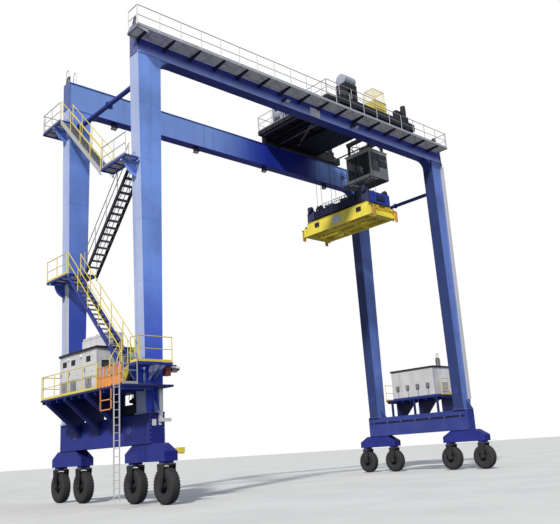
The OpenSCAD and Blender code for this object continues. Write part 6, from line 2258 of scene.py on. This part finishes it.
@dataclass
class Spreader:
    """Spreader: ribs, plate, hydraulics, end beam gear and corner guides.

    Attributes:
        x: X of its middle.
        side: from the middle to a side beam's web.
        top: top of the crossbeams and of the end beams.
    """

    x: float = 6.33
    side: float = 1.19
    top: float = 16.62

    def build(self) -> None:
        """Adds every piece of the spreader."""
        dress(Finish.SPREADER, "spreader_frame", "end_beam_near", "end_beam_far")
        dress(Finish.GUIDE, "flippers_near", "flippers_far")
        self.beams()
        self.hydraulics()
        for out, end in ((-1, "near"), (1, "far")):
            self.end_beam(out, end)
            self.guides(out, end)

    def beams(self) -> None:
        """Stiffeners, top flanges, bolts and blank plates on the side beams."""
        s, bits, plate, dark = shells(4)
        ribs = spread(-2.5, 2.5, 0.5)
        ribs = ribs[np.abs(ribs) > 0.4]
        for out, reach in ((-1, 0.012), (1, 0.05)):
            face = self.x + out * self.side
            near = face + out * 0.018
            s.box((face - 0.012, face + reach), about(ribs, 0.008), (16.12, 16.92))
            s.box(about(face, 0.035), (-2.7, 2.7), (16.94, 16.965))
            s.box(about(face, 0.03), (-2.7, 2.7), (16.075, 16.1))
            plate.box(about(face + out * 0.014, 0.004), (-0.36, 0.36), (16.3, 16.78))
            for y, z in product((-0.33, 0.33), (16.33, 16.75)):
                bits.bolts([near, y, z], (out, 0, 0), 0.012, 0.01)
            bits.bolts(points(face - out * 0.03, spread(-2.62, 2.62, 0.22), 16.965), UP, 0.014, 0.014)
            for low in (-2.2, 1.6):
                dark.box((face - 0.04, face + 0.03), (low, low + 0.4), (16.5, 16.8))
        x = self.x + np.array([-0.8, -0.4, 0.4, 0.8])
        for y in (-2.75, -0.9, 0.7, 2.55):
            bits.bolts(points(x, y + 0.1, self.top), UP, 0.016, 0.016)
            s.box(about(x, 0.01), (y - 0.02, y), (16.3, 16.6))
        s.piece("spreader_stiffeners", Finish.SPREADER, "lifting_frame")
        bits.piece("spreader_bolts", Finish.BOLT, "lifting_frame")
        plate.piece("spreader_blank_plates", Finish.PALE, "lifting_frame")
        dark.piece("spreader_boxes", Finish.BLACK, "lifting_frame")

    def hydraulics(self) -> None:
        """Power pack, barrels of the telescope cylinders, and hoses inside the spreader."""
        box, steel, hose = shells(3)
        tank, plate = self.x - 0.38, self.top + 0.03
        box.box((tank - 0.1, tank + 0.85), (-0.62, 0.62), (self.top, plate))
        box.box((tank, tank + 0.5), (-0.5, 0.1), (plate, plate + 0.28))
        box.box((tank - 0.02, tank + 0.52), (-0.52, 0.12), (plate + 0.27, plate + 0.29))
        motor, x, z = [(0, 0.11), (0.01, 0.13), (0.4, 0.13), (0.42, 0.1)], self.x + 0.29, self.top + 0.17
        box.turned(motor, (x, -0.45, z), (0, 1, 0), 24)
        middle = (x, -0.4, z)
        fins = circle(middle, Axis.Y, 0.135, 12)
        box.bars(fins, fins + (0, 0.3, 0), 0.008, 0.02, fins - middle)
        barrel = [(0, 0.03), (0.02, 0.06), (1.7, 0.06), (1.74, 0.05)]
        for out in SIDES:
            x = self.x + out * 0.32
            steel.turned(barrel, (x, out * 0.3, 16.53), (0, out, 0), 20)
            steel.box(about(x, 0.05), about(out * 0.25, 0.04), (16.47, 16.6))
        t = np.linspace(0, 1, 18)
        for k, out in product(range(5), SIDES):
            sway = self.x - 0.2 + 0.09 * k + 0.06 * np.sin(6 * t + k)
            rise = 16.66 + 0.10 * np.sin(t * math.pi) + 0.02 * k
            hose.pipe(points(sway, out * (0.4 + 2.15 * t), rise), 0.012, 7, (1, 0, 0))
        for k in range(3):
            sway = self.x - 0.1 + 0.1 * k + 0.12 * np.sin(t * 3.1)
            hose.pipe(points(sway, 0.3 + 0.25 * t, 17.5 - 0.8 * t), 0.015, 7, (1, 0, 0))
        box.piece("spreader_power_pack", Finish.GREY, "lifting_frame", smooth=30)
        steel.piece("telescope_cylinders", Finish.STEEL, "lifting_frame", smooth=30)
        hose.piece("spreader_hoses", Finish.HOSE, "lifting_frame", smooth=60)

    def end_beam(self, out: int, end: str) -> None:
        """Twistlock housings, drives, wear plates and bolts of one end beam.

        Args:
            out: side along Y, -1 or 1.
            end: near or far.
        """
        s, bits, dark = shells(3)
        y, z, face = out * 2.9265, self.top, out * 3.0865
        for x in (self.x - 1.1295, self.x + 1.1295):
            s.box(about(x, 0.1), (y - 0.15, y + 0.12), (z, z + 0.04))
            dark.turned([(0, 0.075), (0.12, 0.075), (0.14, 0.05)], (x, y, z + 0.04), UP, 20)
            dark.turned([(-0.012, 0.06), (0.0, 0.06)], (x, y, 16.06), UP, 24)
            bits.bolts(circle((x, y, z + 0.04), Axis.Z, 0.085, 4, 0.5), UP, 0.012, 0.014)
        ribs = self.x + np.array([-0.85, -0.55, -0.25, 0.05, 0.35, 0.65])
        s.box(about(ribs, 0.006), (face - 0.01, face + 0.012), (16.1, 16.58))
        dark.box((self.x - 0.2, self.x + 0.24), about(y, 0.1), (z, z + 0.16))
        dark.turned([(0, 0.05), (0.5, 0.05)], (self.x - 0.85, y, z + 0.08), (1, 0, 0), 16)
        bits.bolts(points(spread(self.x - 1.0, self.x + 1.0, 0.25), out * 2.80, z), UP, 0.014, 0.014)
        body = "telescope_" + end
        s.piece("end_beam_ribs_" + end, Finish.SPREADER, body)
        bits.piece("end_beam_bolts_" + end, Finish.BOLT, body)
        dark.piece("end_beam_drives_" + end, Finish.BLACK, body, smooth=30)

    def guides(self, out: int, end: str) -> None:
        """Hub collars of the corner guides.

        Args:
            out: side along Y, -1 or 1.
            end: near or far.
        """
        s = Shell()
        for hub, k in product((self.x - 1.109, self.x + 1.109), (-0.14, 0.14)):
            s.turned([(-0.012, 0.055), (0.012, 0.055)], (hub + k, out * 3.1615, 16.55), (1, 0, 0), 20)
        s.piece("corner_guide_collars_" + end, Finish.BLUE_DARK, "corner_guides_" + end)


@dataclass
class Stage:
    """Floor, daylight and the camera.

    Attributes:
        place: where the camera stands.
        heading: its heading from +Y towards +X, in degrees.
        pitch: how far it looks up, in degrees.
        roll: its roll, in degrees.
        lens: its focal length in millimetres on a 36 mm sensor.
    """

    place: Place = (-28.557, -30.361, 1.762)
    heading: float = 43.018
    pitch: float = 14.960
    roll: float = -3.606
    lens: float = 45.742

    def build(self) -> None:
        """Builds the floor, the sky, the lamps and the camera."""
        self.floor()
        self.sky()
        self.sun("key_light", (-0.72, -0.42, 0.62), 3.1, 5.0, (1.0, 0.965, 0.9))
        self.sun("fill_light", (0.35, -0.85, 0.5), 0.45, 30.0, (0.86, 0.92, 1.0))
        self.camera()

    def place_object(self, name: str, data: bpy.types.ID) -> bpy.types.Object:
        """Makes an object in the scene.

        Args:
            name: its name.
            data: its mesh, lamp or camera.

        Returns:
            The object.
        """
        made = bpy.data.objects.new(name, data)
        bpy.context.scene.collection.objects.link(made)
        return made

    def floor(self) -> None:
        """Wide pale disc, a little mottled, that throws less light back than it shows."""
        s, sides = Shell(), 96
        s.turned([(-0.2, 900.0), (-0.001, 900.0)], (0, 0, 0), UP, sides)
        mesh = bpy.data.meshes.new("floor")
        mesh.from_pydata(np.concatenate(s.points).tolist(), [], [list(range(sides, 2 * sides))])
        shader = Shader("floor")
        mottle = shader.noise(0.25, detail=6.0).ramp(0.3, 0.7)
        colour = shader.tint((0.74, 0.74, 0.73), 0.93, 1.04, mottle)
        path = shader.node("ShaderNodeLightPath", {}, {})
        seen = Number(shader, path.outputs["Is Camera Ray"])
        colour = shader.mix(seen, (0.19, 0.19, 0.19), colour)
        mesh.materials.append(shader.finish(Base_Color=colour, Roughness=0.9))
        self.place_object("floor", mesh)

    def sky(self) -> None:
        """Even daylight; what the camera and clear panes see of it is white."""
        world = bpy.data.worlds.new("daylight")
        bpy.context.scene.world = world
        world.use_nodes = True
        tree = world.node_tree
        tree.nodes.clear()
        path, seen, day, white, mix, out = (
            tree.nodes.new("ShaderNode" + kind)
            for kind in ("LightPath", "Math", "Background", "Background", "MixShader", "OutputWorld")
        )
        seen.operation = "MAXIMUM"
        day.inputs["Color"].default_value = (0.80, 0.87, 1.0, 1.0)
        day.inputs["Strength"].default_value = 0.38
        white.inputs["Color"].default_value = (1.0, 1.0, 1.0, 1.0)
        tree.links.new(path.outputs["Is Camera Ray"], seen.inputs[0])
        tree.links.new(path.outputs["Is Transmission Ray"], seen.inputs[1])
        for place, node in enumerate((seen, day, white)):
            tree.links.new(node.outputs[0], mix.inputs[place])
        tree.links.new(mix.outputs[0], out.inputs[0])

    def sun(self, name: str, towards: Place, strength: float, width: float, colour: Colour) -> None:
        """A soft distant lamp.

        Args:
            name: its name.
            towards: the direction from the crane to the lamp.
            strength: its strength.
            width: how wide it looks, in degrees.
            colour: its colour.
        """
        lamp = bpy.data.lights.new(name, "SUN")
        lamp.energy = strength
        lamp.angle = math.radians(width)
        lamp.color = colour
        made = self.place_object(name, lamp)
        made.rotation_mode = "QUATERNION"
        made.rotation_quaternion = Vector(towards).to_track_quat("Z", "Y")

    def camera(self) -> None:
        """Camera turned to its heading, pitch and roll."""
        a, p, r = (math.radians(v) for v in (self.heading, self.pitch, self.roll))
        forward = np.array([math.sin(a) * math.cos(p), math.cos(a) * math.cos(p), math.sin(p)])
        level = np.array([math.cos(a), -math.sin(a), 0.0])
        rise = np.cross(level, forward)
        right = math.cos(r) * level + math.sin(r) * rise
        up = math.cos(r) * rise - math.sin(r) * level
        lens = bpy.data.cameras.new("camera")
        lens.lens = self.lens
        lens.sensor_width = 36.0
        lens.clip_start, lens.clip_end = 0.1, 3000.0
        made = self.place_object("camera", lens)
        matrix = np.eye(4)
        matrix[:3] = np.stack([right, up, -forward, self.place], 1)
        made.matrix_world = Matrix(matrix.tolist())
        bpy.context.scene.camera = made


def main() -> None:
    """Builds the stage and every assembly in order, and notes the sizes."""
    logging.basicConfig(level=logging.INFO, format="%(message)s")
    bpy.context.scene.view_settings.view_transform = "Standard"
    ground = (Stage, Portal, Access, Houses, RunningGear, Floodlights, ServiceUnit)
    for assembly in (*ground, Trolley, Hoist, Spreader):
        assembly().build()


if __name__ == "__main__":
    main()
